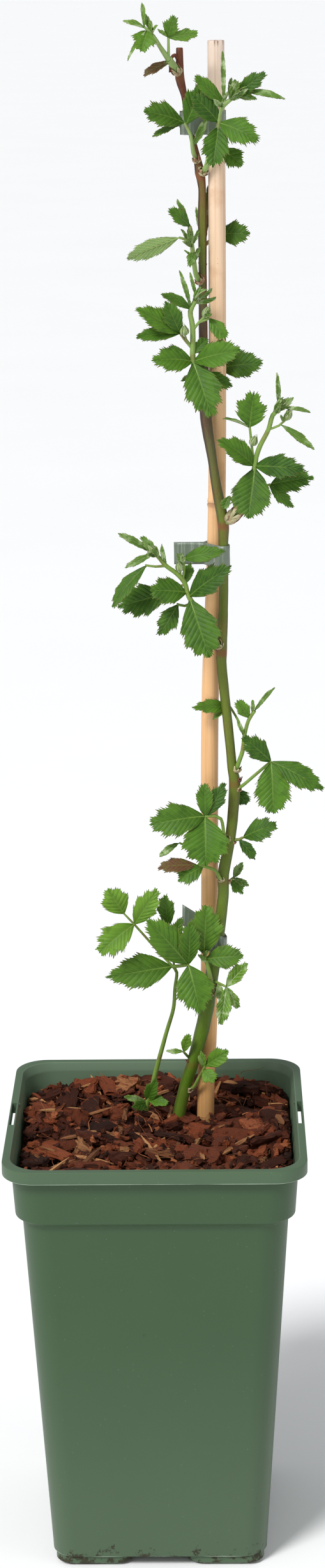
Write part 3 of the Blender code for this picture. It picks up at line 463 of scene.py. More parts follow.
for name, half, z in (("pot_lip_flash", LIP_HALF - 0.15, POT_HEIGHT - LIP_DROP + 0.1),
                      ("pot_base_flash", BASE_HALF - 0.15, FOOT_HEIGHT + 0.25)):
    bead = new_piece(name, flash_bead(flash_draw, half, corner_at(z), z), "pot_plastic", edge_finish)
    shade(bead, 60)


# The potting soil
# Dark peaty compost that fills the pot under the mulch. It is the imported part's own solid, and
# only shows as a dark ground between the chips.


def soil_colour(tree, mask):
    return stain(tree, mix(tree, mask["Clouds"], paint(28, 19, 13), paint(58, 38, 24)),
                 (mask["Specks"], 1.0, (96, 70, 44)))


peat = worn_finish(
    "peat_compost", soil_colour, rough=(0.75, 1.0),
    wear=dict(Cloud_Scale=150.0, Speck_Scale=200.0, Speck_Size=0.3, Relief_Scale=500.0, Relief_Depth=1.0),
    Specular_IOR_Level=0.2)
soil_mesh = frame["nodes"]["potting_soil"].data
if soil_mesh.materials:
    soil_mesh.materials[0] = peat
else:
    soil_mesh.materials.append(peat)


# The bark mulch
# Composted conifer bark on top of the soil: red-brown chips in layers, pale splinters of wood,
# bast fibres and crumbs. It is only strewn on, so every piece lies as it fell.

MULCH_LOW, MULCH_HIGH = 208.0, 222.0
MULCH_BED = 211.0
MULCH_HALF = 68.4
BACK_RISE = 3.5
FOOT_HOLLOW, HOLLOW_SPREAD, HOLLOW_DEPTH = (6.0, 26.0), (20.0, 12.0), 4.0
CHIP_SORTS = (
    # count, length, width, thickness, how far it tips over as it falls
    (170, (5, 12), (3, 8), (1.5, 3.5), 0.45),
    (120, (10, 22), (5, 12), (2.0, 4.5), 0.34),
    (110, (7, 15), (4, 10), (2.0, 5.0), 0.50),
    (62, (16, 30), (8, 15), (2.5, 5.0), 0.24),
    (150, (5, 13), (3, 7), (1.2, 3.5), 0.55),
)
# A chip longer than the first number is cut into the second number of steps
CHIP_CUTS = ((15, 5), (8, 3), (0, 2))
CRUMB_CUTS = 1
# The spiral on which chips fall, in half widths of the pot, and how far they scatter from it
SPIRAL_REACH, SCATTER = 1.22, 3
SPLINTER_COUNT, FIBRE_COUNT, CRUMB_COUNT = 44, 120, 300
# The pile is kept as heights in square cells. A chip's middle rests at the first share of its
# thickness over the pile, its top at the second over its middle, and it leans by the third share
# of the slope
PILE_CELL = 2.5
CHIP_REST, CHIP_TOP, CHIP_LEAN = 0.36, 0.30, 0.6
# How far from the grain's origin a chip's own grain may start
GRAIN_REACH = 500


def carried(tree, name, output="Fac"):
    """What the points of a piece carry under a name."""
    return add(tree, "Attribute", attribute_name=name).outputs[output]


def bark_finish(name, dark, red, pale, depth):
    """Bark or wood, whose chips carry their own grain places and a (tone, tan, wet) look."""
    material, tree, shader = new_finish(name, Specular_IOR_Level=0.22)
    place = carried(tree, "grain", "Vector")
    tone, tan, wet = split(tree, carried(tree, "look", "Vector"))
    grain = use(tree, grain_tree, Place=place, Stretch=(0.10, 0.75, 0.9), Depth=depth)
    wear = use(tree, wear_tree, Place=place, Cloud_Scale=0.3, Speck_Scale=0.9, Speck_Size=0.2)
    value = count(tree, "ADD", calc(tree, "MULTIPLY", tone, 0.75),
                  calc(tree, "MULTIPLY", grain["Fine"], 0.42))
    colour = stain(
        tree, ramp(tree, value, (0.16, dark), (0.50, red), (0.82, pale), (1.0, (172, 104, 64))),
        (tan, rise(tree, grain["Grain"], 0.30, 0.62), (176, 124, 80)),
        (rise(tree, wear["Clouds"], 0.52, 0.74), 0.55, dark),
        (wear["Specks"], 0.5, (176, 140, 104)))
    dry = calc(tree, "SUBTRACT", 1.0, calc(tree, "MULTIPLY", wet, 0.75))
    wire(tree, shader, Base_Color=colour, Roughness=shift(tree, dry, 0.28, 0.95), Normal=grain["Normal"])
    return material


def mulch_ground(x, y):
    """Height of the bed below the chips: higher at the back, lower round the plant's foot."""
    off = [(v - middle) / spread for v, middle, spread in zip((x, y), FOOT_HOLLOW, HOLLOW_SPREAD)]
    hollow = HOLLOW_DEPTH * math.exp(-off[0] ** 2 - off[1] ** 2)
    lumps = 2.2 * noise.noise(Vector((x, y, 0)) * 0.045)
    return MULCH_BED + BACK_RISE * max(0.0, y / MULCH_HALF) ** 2 + lumps - hollow


def inside_pot(x, y, reach):
    """A place moved in so that what reaches that far round it stays inside the wall."""
    edge = MULCH_HALF - reach
    x, y = max(-edge, min(edge, x)), max(-edge, min(edge, y))
    inner = edge - RIM_CORNER
    over = Vector((max(0.0, abs(x) - inner), max(0.0, abs(y) - inner)))
    if over.length > RIM_CORNER:
        over *= RIM_CORNER / over.length
        x, y = math.copysign(inner + over.x, x), math.copysign(inner + over.y, y)
    return x, y


pile = {}


def cell_of(x, y):
    return round(x / PILE_CELL), round(y / PILE_CELL)


def pile_at(x, y):
    return pile.get(cell_of(x, y), mulch_ground(x, y))


def settle(x, y, long, wide, thick, angle):
    """Where a chip comes to rest on the pile: its middle's height and its lean along and across."""
    ahead, aside = Vector((math.cos(angle), math.sin(angle))), Vector((-math.sin(angle), math.cos(angle)))
    here = Vector((x, y))
    spots = [here + ahead * a * long / 2 + aside * b * wide / 2
             for a in (-0.8, 0, 0.8) for b in (-0.8, 0, 0.8)]
    heights = [pile_at(*spot) for spot in spots]
    lean_along = math.atan2(sum(heights[6:]) - sum(heights[:3]), 3 * long * 0.8)
    lean_across = math.atan2(sum(heights[2::3]) - sum(heights[::3]), 3 * wide * 0.8)
    height = min(sorted(heights)[5] + thick * CHIP_REST, MULCH_HIGH - thick / 2)
    for spot in spots:
        pile[cell_of(*spot)] = max(pile_at(*spot), height + thick * CHIP_TOP)
    return height, lean_along * CHIP_LEAN, lean_across * CHIP_LEAN


def new_strewn():
    """A bmesh whose points carry their place in the grain and their look."""
    bm = bmesh.new()
    return bm, bm.verts.layers.float_vector.new("grain"), bm.verts.layers.float_vector.new("look")


def lay(strewn, verts, offset, look, matrix):
    bm, grain, looks = strewn
    for vert in verts:
        vert[grain] = vert.co + offset
        vert[looks] = look
    bmesh.ops.transform(bm, matrix=Matrix.Scale(MM, 4) @ matrix, verts=verts)


def block_grid(cuts):
    """Points and faces of a unit cube whose faces are cut into a grid."""
    bm = bmesh.new()
    bmesh.ops.create_cube(bm, size=1.0)
    bmesh.ops.subdivide_edges(bm, edges=bm.edges[:], cuts=cuts, use_grid_fill=True)
    bm.verts.index_update()
    grid = [vert.co.copy() for vert in bm.verts], [[v.index for v in face.verts] for face in bm.faces]
    bm.free()
    return grid


block_grids = {cuts: block_grid(cuts) for cuts in (CRUMB_CUTS, *(cuts for _, cuts in CHIP_CUTS))}


def grain_start(draw):
    """Where a chip lies in the grain, so that no two look the same."""
    return Vector([draw.uniform(-GRAIN_REACH, GRAIN_REACH) for _ in range(3)])


def bark_chip(strewn, draw, size, matrix, look, cuts):
    """A chip: a box with an angular plan, worn corners, and a surface broken along its grain."""
    bm = strewn[0]
    points, faces = block_grids[cuts]
    plan = [draw.uniform(0.62, 1.0) for _ in range(7)]
    bend = draw.uniform(-0.12, 0.12)
    offset = grain_start(draw)
    verts = []
    for x, y, z in points:
        turn = (math.atan2(y, x) / math.tau * 7) % 7
        first = int(turn) % 7
        radius = plan[first] + (plan[(first + 1) % 7] - plan[first]) * (turn - int(turn))
        far = max(abs(x), abs(y)) * 2
        x, y = x * (1 + (radius - 1) * far), y * (1 + (radius - 1) * far)
        taper = 1 - 0.35 * far ** 3 * abs(z) * 2
        place = Vector((x * size[0], y * size[1], (z * taper + bend * x * x * 4) * size[2]))
        rough = noise.noise_vector(Vector((place.x * 0.22, place.y * 0.6, place.z * 0.8)) + offset)
        fine = noise.noise_vector(Vector((place.x * 0.6, place.y * 1.5, place.z * 1.5)) - offset)
        verts.append(bm.verts.new(place + rough * 0.34 * size[2] + fine * 0.20 * size[2]))
    for face in faces:
        bm.faces.new([verts[i] for i in face])
    lay(strewn, verts, offset, look, matrix)


def splinter(strewn, draw, size, matrix, look):
    """A sliver of wood: square in section, split to a point at both ends, a little bowed."""
    bm = strewn[0]
    steps = 7
    offset = grain_start(draw)
    bow, twist = draw.uniform(-0.08, 0.08), draw.uniform(-0.6, 0.6)
    rings = []
    for i in range(steps + 1):
        t = i / steps
        thin = (min(1.0, 4 * t, 4 * (1 - t)) * 0.85 + 0.15) * draw.uniform(0.85, 1.1)
        x, shift_y, angle = (t - 0.5) * size[0], bow * size[0] * (t - 0.5) ** 2, twist * (t - 0.5)
        ring = []
        for a, b in ((-1, -1), (1, -1), (1, 1), (-1, 1)):
            y, z = a * size[1] / 2 * thin, b * size[2] / 2 * thin
            ring.append(bm.verts.new((x, y * math.cos(angle) - z * math.sin(angle) + shift_y,
                                      y * math.sin(angle) + z * math.cos(angle))))
        rings.append(ring)
    skin(bm, rings, flip=True, capped=True)
    lay(strewn, [vert for ring in rings for vert in ring], offset, look, matrix)


def fibre(strewn, draw, start, heading, length, radius, look):
    """A loose bast fibre: a hair-thin three-sided thread that wanders."""
    bm, grain, looks = strewn
    steps = 9
    place, offset = Vector(start), grain_start(draw)
    going = Vector(heading).normalized()
    rings = []
    for i in range(steps + 1):
        side = going.orthogonal().normalized()
        other = going.cross(side)
        thin = radius * (1 - 0.7 * i / steps)
        ring = []
        for k in range(3):
            angle = math.tau * k / 3
            vert = bm.verts.new((place + (side * math.cos(angle) + other * math.sin(angle)) * thin) * MM)
            vert[grain] = place + offset
            vert[looks] = look
            ring.append(vert)
        rings.append(ring)
        going = (going + Vector([draw.gauss(0, 0.22) for _ in range(3)]) + Vector((0, 0, -0.05))).normalized()
        place += going * length / steps
        place.x, place.y = inside_pot(place.x, place.y, 1.0)
        place.z = max(place.z, pile_at(place.x, place.y) - 0.3)
    skin(bm, rings, capped=True)


def fall(draw, x, y, size, flatness):
    """The matrix of a strewn piece that has come to rest near (x, y), in millimetres."""
    angle = draw.uniform(0, math.tau)
    x, y = inside_pot(x, y, max(abs(math.cos(angle)) * size[0], abs(math.sin(angle)) * size[0],
                                size[1]) * 0.5 + 0.8)
    height, lean_along, lean_across = settle(x, y, *size, angle)
    return (Matrix.Translation((x, y, height)) @ Matrix.Rotation(angle, 4, "Z")
            @ Matrix.Rotation(-lean_along + draw.gauss(0, flatness * 0.5), 4, "Y")
            @ Matrix.Rotation(lean_across + draw.gauss(0, flatness), 4, "X"))


def strewn_piece(strewn, name, finish):
    bm = strewn[0]
    bmesh.ops.recalc_face_normals(bm, faces=bm.faces)
    piece = new_piece(name, bm, "bark", finish)
    shade(piece, 34)
    return piece


def somewhere(draw, margin=0.0):
    """A place in the pot, by chance."""
    edge = MULCH_HALF - margin
    return draw.uniform(-edge, edge), draw.uniform(-edge, edge)


def thicken(piece, thickness, offset=-1.0):
    """Gives a sheet its thickness on its inner side, or on both sides at offset 0."""
    depth = piece.modifiers.new("thickness", "SOLIDIFY")
    depth.thickness = thickness * MM
    depth.offset = offset
    return depth


mulch_draw = random.Random(11)
# The chips' rough surfaces would otherwise take their seed from the clock
noise.seed_set(11)
bark_brown = bark_finish("red_brown_bark", (26, 12, 7), (78, 36, 20), (132, 66, 38), 1.5)
wood_tan = bark_finish("split_wood", (78, 48, 30), (134, 88, 56), (188, 140, 92), 1.0)

bed = new_strewn()
bed_rings = 26
rings = []
for ring in range(1, bed_rings + 1):
    share = ring / bed_rings
    loop = rounded_square(MULCH_HALF * share, (RIM_CORNER - 1) * share, 0, 10)
    rings.append([bed[0].verts.new((p.x / MM, p.y / MM, 0)) for p in loop])
centre = bed[0].verts.new((0, 0, 0))
for i in range(len(rings[0])):
    bed[0].faces.new((centre, rings[0][i], rings[0][(i + 1) % len(rings[0])]))
skin(bed[0], rings, flip=True)
for vert in bed[0].verts:
    crumbly = 1.1 * noise.noise(vert.co * 0.35) + 0.7 * noise.noise(vert.co * 0.9)
    vert.co.z = mulch_ground(vert.co.x, vert.co.y) + crumbly
lay(bed, bed[0].verts[:], Vector((0, 0, 0)), (0.12, 0.0, 0.3), Matrix.Identity(4))
mulch_bed = strewn_piece(bed, "mulch_bed", bark_brown)
thicken(mulch_bed, (MULCH_BED - MULCH_LOW - 1) / 2)

# Chips fall along a spiral, which spreads each sort evenly over the pot
chips = new_strewn()
golden_turn = math.pi * (3 - math.sqrt(5))
for total, lengths, widths, thicks, flatness in CHIP_SORTS:
    for i in range(total):
        reach = math.sqrt((i + 0.5) / total) * SPIRAL_REACH * MULCH_HALF
        x = reach * math.cos(i * golden_turn + total) + mulch_draw.gauss(0, SCATTER)
        y = reach * math.sin(i * golden_turn + total) + mulch_draw.gauss(0, SCATTER)
        size = [mulch_draw.uniform(*limits) for limits in (lengths, widths, thicks)]
        tone = mulch_draw.betavariate(1.8, 2.4)
        tan = 0.0 if mulch_draw.random() < 0.94 else mulch_draw.uniform(0.3, 0.7)
        look = (tone, tan, mulch_draw.random() ** 3)
        cuts = next(steps for least, steps in CHIP_CUTS if size[0] > least)
        bark_chip(chips, mulch_draw, size, fall(mulch_draw, x, y, size, flatness), look, cuts)
strewn_piece(chips, "bark_chips", bark_brown)

slivers = new_strewn()
for i in range(SPLINTER_COUNT):
    size = (mulch_draw.uniform(8, 30), mulch_draw.uniform(0.9, 3.2), mulch_draw.uniform(0.6, 1.6))
    x, y = somewhere(mulch_draw)
    look = (mulch_draw.uniform(0.1, 0.9), mulch_draw.random() ** 2, 0.0)
    splinter(slivers, mulch_draw, size, fall(mulch_draw, x, y, size, 0.3), look)
strewn_piece(slivers, "wood_splinters", wood_tan)

crumbs = new_strewn()
for i in range(CRUMB_COUNT):
    size = [mulch_draw.uniform(1.2, 4.0) for _ in range(3)]
    x, y = somewhere(mulch_draw)
    look = (mulch_draw.uniform(0.0, 1.0), 0.0, mulch_draw.random() ** 2)
    bark_chip(crumbs, mulch_draw, size, fall(mulch_draw, x, y, size, 0.8), look, CRUMB_CUTS)
for i in range(FIBRE_COUNT):
    x, y = somewhere(mulch_draw, 4.0)
    angle = mulch_draw.uniform(0, math.tau)
    heading = (math.cos(angle), math.sin(angle), mulch_draw.uniform(-0.1, 0.3))
    length, radius = mulch_draw.uniform(8, 26), mulch_draw.uniform(0.12, 0.32)
    fibre(crumbs, mulch_draw, (x, y, pile_at(x, y) + 0.2), heading, length, radius,
          (mulch_draw.uniform(0.3, 1.0), 0.4, 0.0))
crumbs_piece = strewn_piece(crumbs, "bark_crumbs", bark_brown)
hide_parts("bark_mulch")


# The bamboo cane
# A thin split-proof bamboo stake, pushed into the soil to hold the young stem up. It is natural
# cane with one node, sawn off square at the top.

CANE = (
    (24, 28, 60, 4.4), (25, 28, 217, 4.4), (27, 28, 267, 4.4), (28, 28, 336, 4.35),
    (29, 28, 437, 4.3), (33, 28, 537, 4.3), (34, 28, 661, 4.15), (34, 28, 757, 4.0),
)
CANE_NODE_Z = 537.0
CANE_NODE_RING = ((-3.2, 0.0), (-1.6, 0.15), (-0.7, 0.45), (-0.1, 0.38), (0.3, -0.02), (0.7, 0.30),
                  (1.5, 0.34), (3.2, 0.0))
CANE_STEP = 12.0
PITH_RADIUS, PITH_DEPTH = 1.1, 3.0


def smooth_path(points, step):
    """Points about every step along a smooth curve through the given ones (any number of values)."""
    rows = [tuple(float(v) for v in row) for row in points]
    ends = [rows[0], *rows, rows[-1]]
    out = []
    for a, b, c, d in zip(ends, ends[1:], ends[2:], ends[3:]):
        parts = max(1, round(math.dist(b[:3], c[:3]) / step))
        for i in range(parts):
            t = i / parts
            out.append(tuple(
                0.5 * (2 * q + (r - p) * t + (2 * p - 5 * q + 4 * r - s) * t * t
                       + (3 * q - p - 3 * r + s) * t ** 3)
                for p, q, r, s in zip(a, b, c, d)))
    out.append(rows[-1])
    return out


def at_height(rows, z):
    """The middle and radius of an upright stem or cane at a height."""
    for low, high in zip(rows, rows[1:]):
        if low[2] <= z <= high[2]:
            t = (z - low[2]) / (high[2] - low[2])
            return [a + (b - a) * t for a, b in zip(low, high)]
    return list(rows[-1])


def grow_tube(bm, rows, sides, uneven=0.0):
    """A closed tube along (x, y, z, radius) rows in mm. Its direction never turns back on itself."""
    places = [Vector(row[:3]) * MM for row in rows]
    going, side = None, None
    rings = []
    for i, row in enumerate(rows):
        step = places[min(i + 1, len(rows) - 1)] - places[max(i - 1, 0)]
        if going is None or step.normalized().dot(going) > 0.2:
            going = step.normalized()
        side = (side or going.orthogonal())
        side = (side - going * side.dot(going)).normalized()
        other = going.cross(side)
        ring = []
        for k in range(sides):
            angle = math.tau * k / sides
            out = side * math.cos(angle) + other * math.sin(angle)
            swell = 1 + uneven * noise.noise((places[i] + out * row[3] * MM) * 180)
            ring.append(bm.verts.new(places[i] + out * row[3] * MM * swell))
        rings.append(ring)
    skin(bm, rings, capped=True)


def cane_rows():
    path = smooth_path(CANE, CANE_STEP)
    ring = []
    for up, swell in CANE_NODE_RING:
        x, y, z, radius = at_height(path, CANE_NODE_Z + up)
        ring.append((x, y, z, radius + swell))
    reach = CANE_NODE_RING[-1][0] + 2
    rows = sorted([row for row in path if abs(row[2] - CANE_NODE_Z) > reach] + ring, key=lambda r: r[2])
    x, y, z, radius = rows.pop()
    return rows + [(x, y, z - 0.5, radius), (x, y, z - 0.1, radius - 0.1), (x, y, z, radius - 0.4),
                   (x, y, z, PITH_RADIUS + 0.3), (x, y, z - 0.4, PITH_RADIUS),
                   (x, y, z - PITH_DEPTH, PITH_RADIUS - 0.2)]


def cane_colour(tree, mask):
    z = split(tree, mask["Place"])["Z"]
    colour = stain(
        tree, ramp(tree, z, (0.22, (232, 176, 108)), (0.42, (218, 170, 118)), (0.56, (229, 182, 130)),
                   (0.70, (226, 200, 174)), (0.76, (230, 210, 194))),
        (rise(tree, mask["Grain"], 0.45, 0.7), 0.35, (176, 126, 80)),
        (rise(tree, mask["Fine"], 0.52, 0.68), 0.25, (236, 212, 184)),
        (rise(tree, mask["Clouds"], 0.52, 0.68), 0.35, (188, 138, 96)),
        (mask["Specks"], 0.6, (96, 66, 44)))
    # The node is darker below its ridge, earth has stained the foot, and the saw frayed the top edge
    off_node = count(tree, "ABSOLUTE", count(tree, "SUBTRACT", z, CANE_NODE_Z * MM))
    frayed = calc(tree, "MULTIPLY", rise(tree, z, 0.7535, 0.7568), rise(tree, mask["Grain"], 0.46, 0.60))
    return stain(tree, colour, (rise(tree, off_node, 0.0022, 0.0), 0.55, (124, 84, 56)),
                 (rise(tree, z, 0.245, 0.215), 0.5, (112, 78, 50)), (frayed, 0.8, (126, 88, 62)))


cane_mesh = bmesh.new()
grow_tube(cane_mesh, cane_rows(), 36, 0.008)
# A small stub of the branch that grew at the node
bmesh.ops.create_uvsphere(cane_mesh, u_segments=10, v_segments=6, radius=1.0 * MM,
                          matrix=Matrix.Translation(Vector((33.6, 24.1, CANE_NODE_Z + 2.2)) * MM)
                          @ Matrix.Diagonal((0.8, 0.6, 1.3, 1.0)))
bamboo = worn_finish(
    "dried_bamboo", cane_colour, rough=(0.38, 0.62),
    wear=dict(Cloud_Scale=45.0, Speck_Scale=260.0, Speck_Size=0.10),
    grain=dict(Stretch=(620.0, 620.0, 9.0), Depth=0.25),
    Specular_IOR_Level=0.35, Coat_Weight=0.08, Coat_Roughness=0.35)
cane = new_piece("cane", cane_mesh, "bamboo", bamboo)
shade(cane, 35)
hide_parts("bamboo_cane")


# The main stem
# Last year's bramble cane: green and woody at the foot, purple-brown where the sun reached it. It
# grows from the soil and was cut off above its top bud. Brown scaly scars mark its nodes.

STEM = (
    (8, 27, 165, 2.4), (10, 26, 200, 3.2), (11, 26, 215, 3.3), (15, 24, 234, 3.2),
    (19, 21, 248, 3.2), (23, 20, 263, 3.6), (26, 19, 277, 3.7), (28, 19, 290, 3.5),
    (33, 20, 322, 3.0), (35, 21, 339, 2.8), (35, 21, 349, 2.9), (39, 23, 370, 2.7),
    (41, 24, 395, 2.9), (40, 24, 402, 2.5), (38, 22, 424, 2.4), (35, 22, 455, 2.5),
    (35, 22, 466, 2.6), (36, 21, 492, 2.3), (36, 20, 518, 2.4), (36, 20, 529, 2.8),
    (33, 19, 546, 2.5), (31, 19, 560, 2.3), (28, 21, 580, 2.8), (27, 24, 600, 2.6),
    (27, 26, 620, 2.2), (27, 27, 648, 1.95), (27, 27, 675, 2.1), (27, 27, 689, 1.85),
    (26, 27, 696, 2.4), (25, 27, 702, 1.8), (22, 26, 715, 1.4), (20, 25, 725, 1.4),
    (19, 25, 732, 1.5), (17, 24, 740, 2.2), (17, 24, 746, 1.9), (17, 24, 754, 1.6),
)
STEM_STEP, STEM_SIDES = 3.0, 20
TOP_BRIDGE = ((16.8, 24.0, 747.5, 1.1), (15.2, 22.4, 750.4, 0.95), (13.6, 20.6, 750.0, 0.8),
              (13.0, 19.6, 747.0, 0.9), (13.2, 19.4, 743.0, 1.3))
# Nodes of the stem: height, angle of the bud round the stem, size of the scaly bud
STEM_NODES = ((248, 200, 0.8), (290, 20, 0.9), (347, 190, 0.9), (397, 30, 1.2), (465, 195, 1.1),
              (529, 15, 1.5), (598, 200, 1.1), (648, 170, 0.8), (696, 20, 1.1), (742, 200, 1.0))


def stem_colour(tree, mask):
    """Living bark coloured by height, sun-reddened in patches, ringed at nodes, with painted shade on its
    edges.
    """
    z = split(tree, mask["Place"])["Z"]
    facing_x = split(tree, add(tree, "NewGeometry").outputs["Normal"])["X"]
    olive, dark = (98, 112, 34), (88, 72, 60)
    sunny = calc(tree, "MULTIPLY", rise(tree, mask["Clouds"], 0.45, 0.65), shift(tree, z, 0.0, 0.72))
    # Painted shade in red-brown and dark purple on the right and left edges near the top
    right_edge_shade = calc(tree, "MULTIPLY", rise(tree, z, 0.60, 0.64), rise(tree, facing_x, 0.45, 0.8))
    left_edge_shade = calc(tree, "MULTIPLY", rise(tree, z, 0.50, 0.57), rise(tree, facing_x, -0.35, -0.8))
    rings = 0.0
    for node_z, *_ in STEM_NODES:
        off = count(tree, "ABSOLUTE", count(tree, "SUBTRACT", z, (node_z - 1.5) * MM))
        rings = calc(tree, "MAXIMUM", rings, rise(tree, off, 0.0032, 0.0004))
    return stain(
        tree, ramp(tree, z, (0.21, (80, 116, 24)), (0.40, olive), (0.53, olive), (0.585, dark),
                   (0.625, dark), (0.66, olive), (0.72, (112, 58, 40))),
        (sunny, 1.0, (112, 70, 50)),
        (rise(tree, mask["Fine"], 0.5, 0.68), 0.22, (140, 140, 84)),
        (mask["Specks"], 0.35, (180, 176, 130)),
        # Painted shade: both edges of the stem darker, by the way the surface faces
        (rise(tree, count(tree, "ABSOLUTE", facing_x), 0.5, 0.95), 0.5, (56, 60, 24)),
        (right_edge_shade, 0.75, (104, 50, 34)), (left_edge_shade, 0.7, (58, 34, 34)),
        (rings, shift(tree, rise(tree, z, 0.30, 0.55), 0.3, 0.85), (124, 76, 44)))


def scar_colour(tree, mask):
    return stain(tree, mix(tree, mask["Grain"], paint(76, 44, 34), paint(142, 98, 70)),
                 (rise(tree, mask["Clouds"], 0.5, 0.62), 1.0, (62, 40, 30)))


def stem_rows():
    rows = smooth_path(STEM, STEM_STEP)
    x, y, z, radius = rows.pop()
    return rows + [(x, y, z - 0.3, radius), (x, y, z, radius - 0.25), (x, y, z - 0.1, radius * 0.4)]


def scale_ring(bm, draw, foot, aim, radius, tall, flare, scales=5):
    """A ring of pointed scales in mm that sheathe a bud or a shoot's foot and part at their tips."""
    turn = aim.to_track_quat("Z", "Y").to_matrix()
    start = draw.uniform(0, math.tau)
    for k in range(scales):
        middle = start + math.tau * k / scales
        height = tall * draw.uniform(0.7, 1.15)
        rows = []
        for share, half in ((0.0, 0.62), (0.3, 0.72), (0.6, 0.50), (0.85, 0.22), (1.0, 0.03)):
            spread = radius * (1 + 0.25 * math.sin(math.pi * share) + flare * share ** 2)
            rows.append([bm.verts.new(foot + turn @ Vector((
                math.cos(middle + s * half) * spread * (1 - 0.08 * abs(s)),
                math.sin(middle + s * half) * spread * (1 - 0.08 * abs(s)), share * height)) * MM)
                for s in (-1, 0, 1)])
        skin(bm, rows, closed=False)


def bud_scales(bm, draw, foot, out, size):
    """A dormant bud: two rings of scales that close over it, leaning up and out."""
    aim = (out + Vector((0, 0, 1.1))).normalized()
    scale_ring(bm, draw, foot, aim, size * 0.95, size * 2.0, -0.7, 4)
    scale_ring(bm, draw, foot, aim, size * 0.70, size * 2.7, -0.85, 3)


stem_mesh = bmesh.new()
grow_tube(stem_mesh, stem_rows(), STEM_SIDES, 0.05)
stem_bark = worn_finish(
    "bramble_bark", stem_colour, rough=(0.34, 0.60),
    wear=dict(Cloud_Scale=70.0, Speck_Scale=900.0, Speck_Size=0.22),
    grain=dict(Stretch=(700.0, 700.0, 60.0), Depth=0.35), Specular_IOR_Level=0.26)
stem = new_piece("stem_bark", stem_mesh, "stem", stem_bark)
shade(stem, 40)
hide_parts("main_stem")

scar_draw = random.Random(5)
scars = bmesh.new()
for height, angle, size in STEM_NODES:
    x, y, z, radius = at_height(STEM, height)
    out = Vector((math.cos(math.radians(angle)), -0.5, 0)).normalized()
    foot = (Vector((x, y, z)) + out * (radius - 0.25)) * MM
    bud_scales(scars, scar_draw, foot, out, size)
scar_bark = worn_finish(
    "scaly_node_bark", scar_colour, rough=(0.6, 0.9),
    wear=dict(Cloud_Scale=400.0, Relief_Scale=1500.0, Relief_Depth=0.8),
    grain=dict(Stretch=(900.0, 900.0, 300.0)), Specular_IOR_Level=0.3)
thicken(new_piece("stem_buds", scars, "stem", scar_bark), 0.25)

# The bark of the cut top still bridges over to the top shoot
bridge = bmesh.new()
grow_tube(bridge, smooth_path(TOP_BRIDGE, 0.8), 10, 0.15)
shade(new_piece("stem_top_bridge", bridge, "stem", stem_bark), 50)


# The leafy side shoots
# This spring's growth from each node of the stem: stalks, toothed leaflets with sunken side veins,
# and round flower buds held in hairy sepals. They are thin living tissue, grown from the stem.

FACING = Vector((0.0, -0.9, 0.45))
BLADE_THICK = 0.35
VEIN_SPACING = 2.5
# The lowest side vein meets the leaf's edge at this share of its length, and all lean forward
LOW_VEIN_EDGE, VEIN_LEAN = 0.27, 1.55
# Teeth between one side vein and the next: (share of the way, how far the edge stands out)
TEETH = ((0.0, 1.0), (0.13, -0.85), (0.32, -0.35), (0.50, 0.45), (0.62, -0.65), (0.82, 0.05))
# Columns of points from the midrib to the edge, for leaflets that are wider than the first number
COLUMNS = ((9, (0.14, 0.36, 0.58, 0.78, 0.91, 1.0)), (4.5, (0.25, 0.55, 0.82, 1.0)), (0, (0.5, 1.0)))
# Teeth and pleats grow with a leaflet's width up to these sizes, and lobes are a share of the teeth
TOOTH_MOST, PLEAT_MOST, LOBE_SHARE = 1.9, 0.36, 0.42
FEWEST_VEINS, MOST_VEINS = 4, 10
STALK_STEP, STALK_SIDES = 2.5, 10

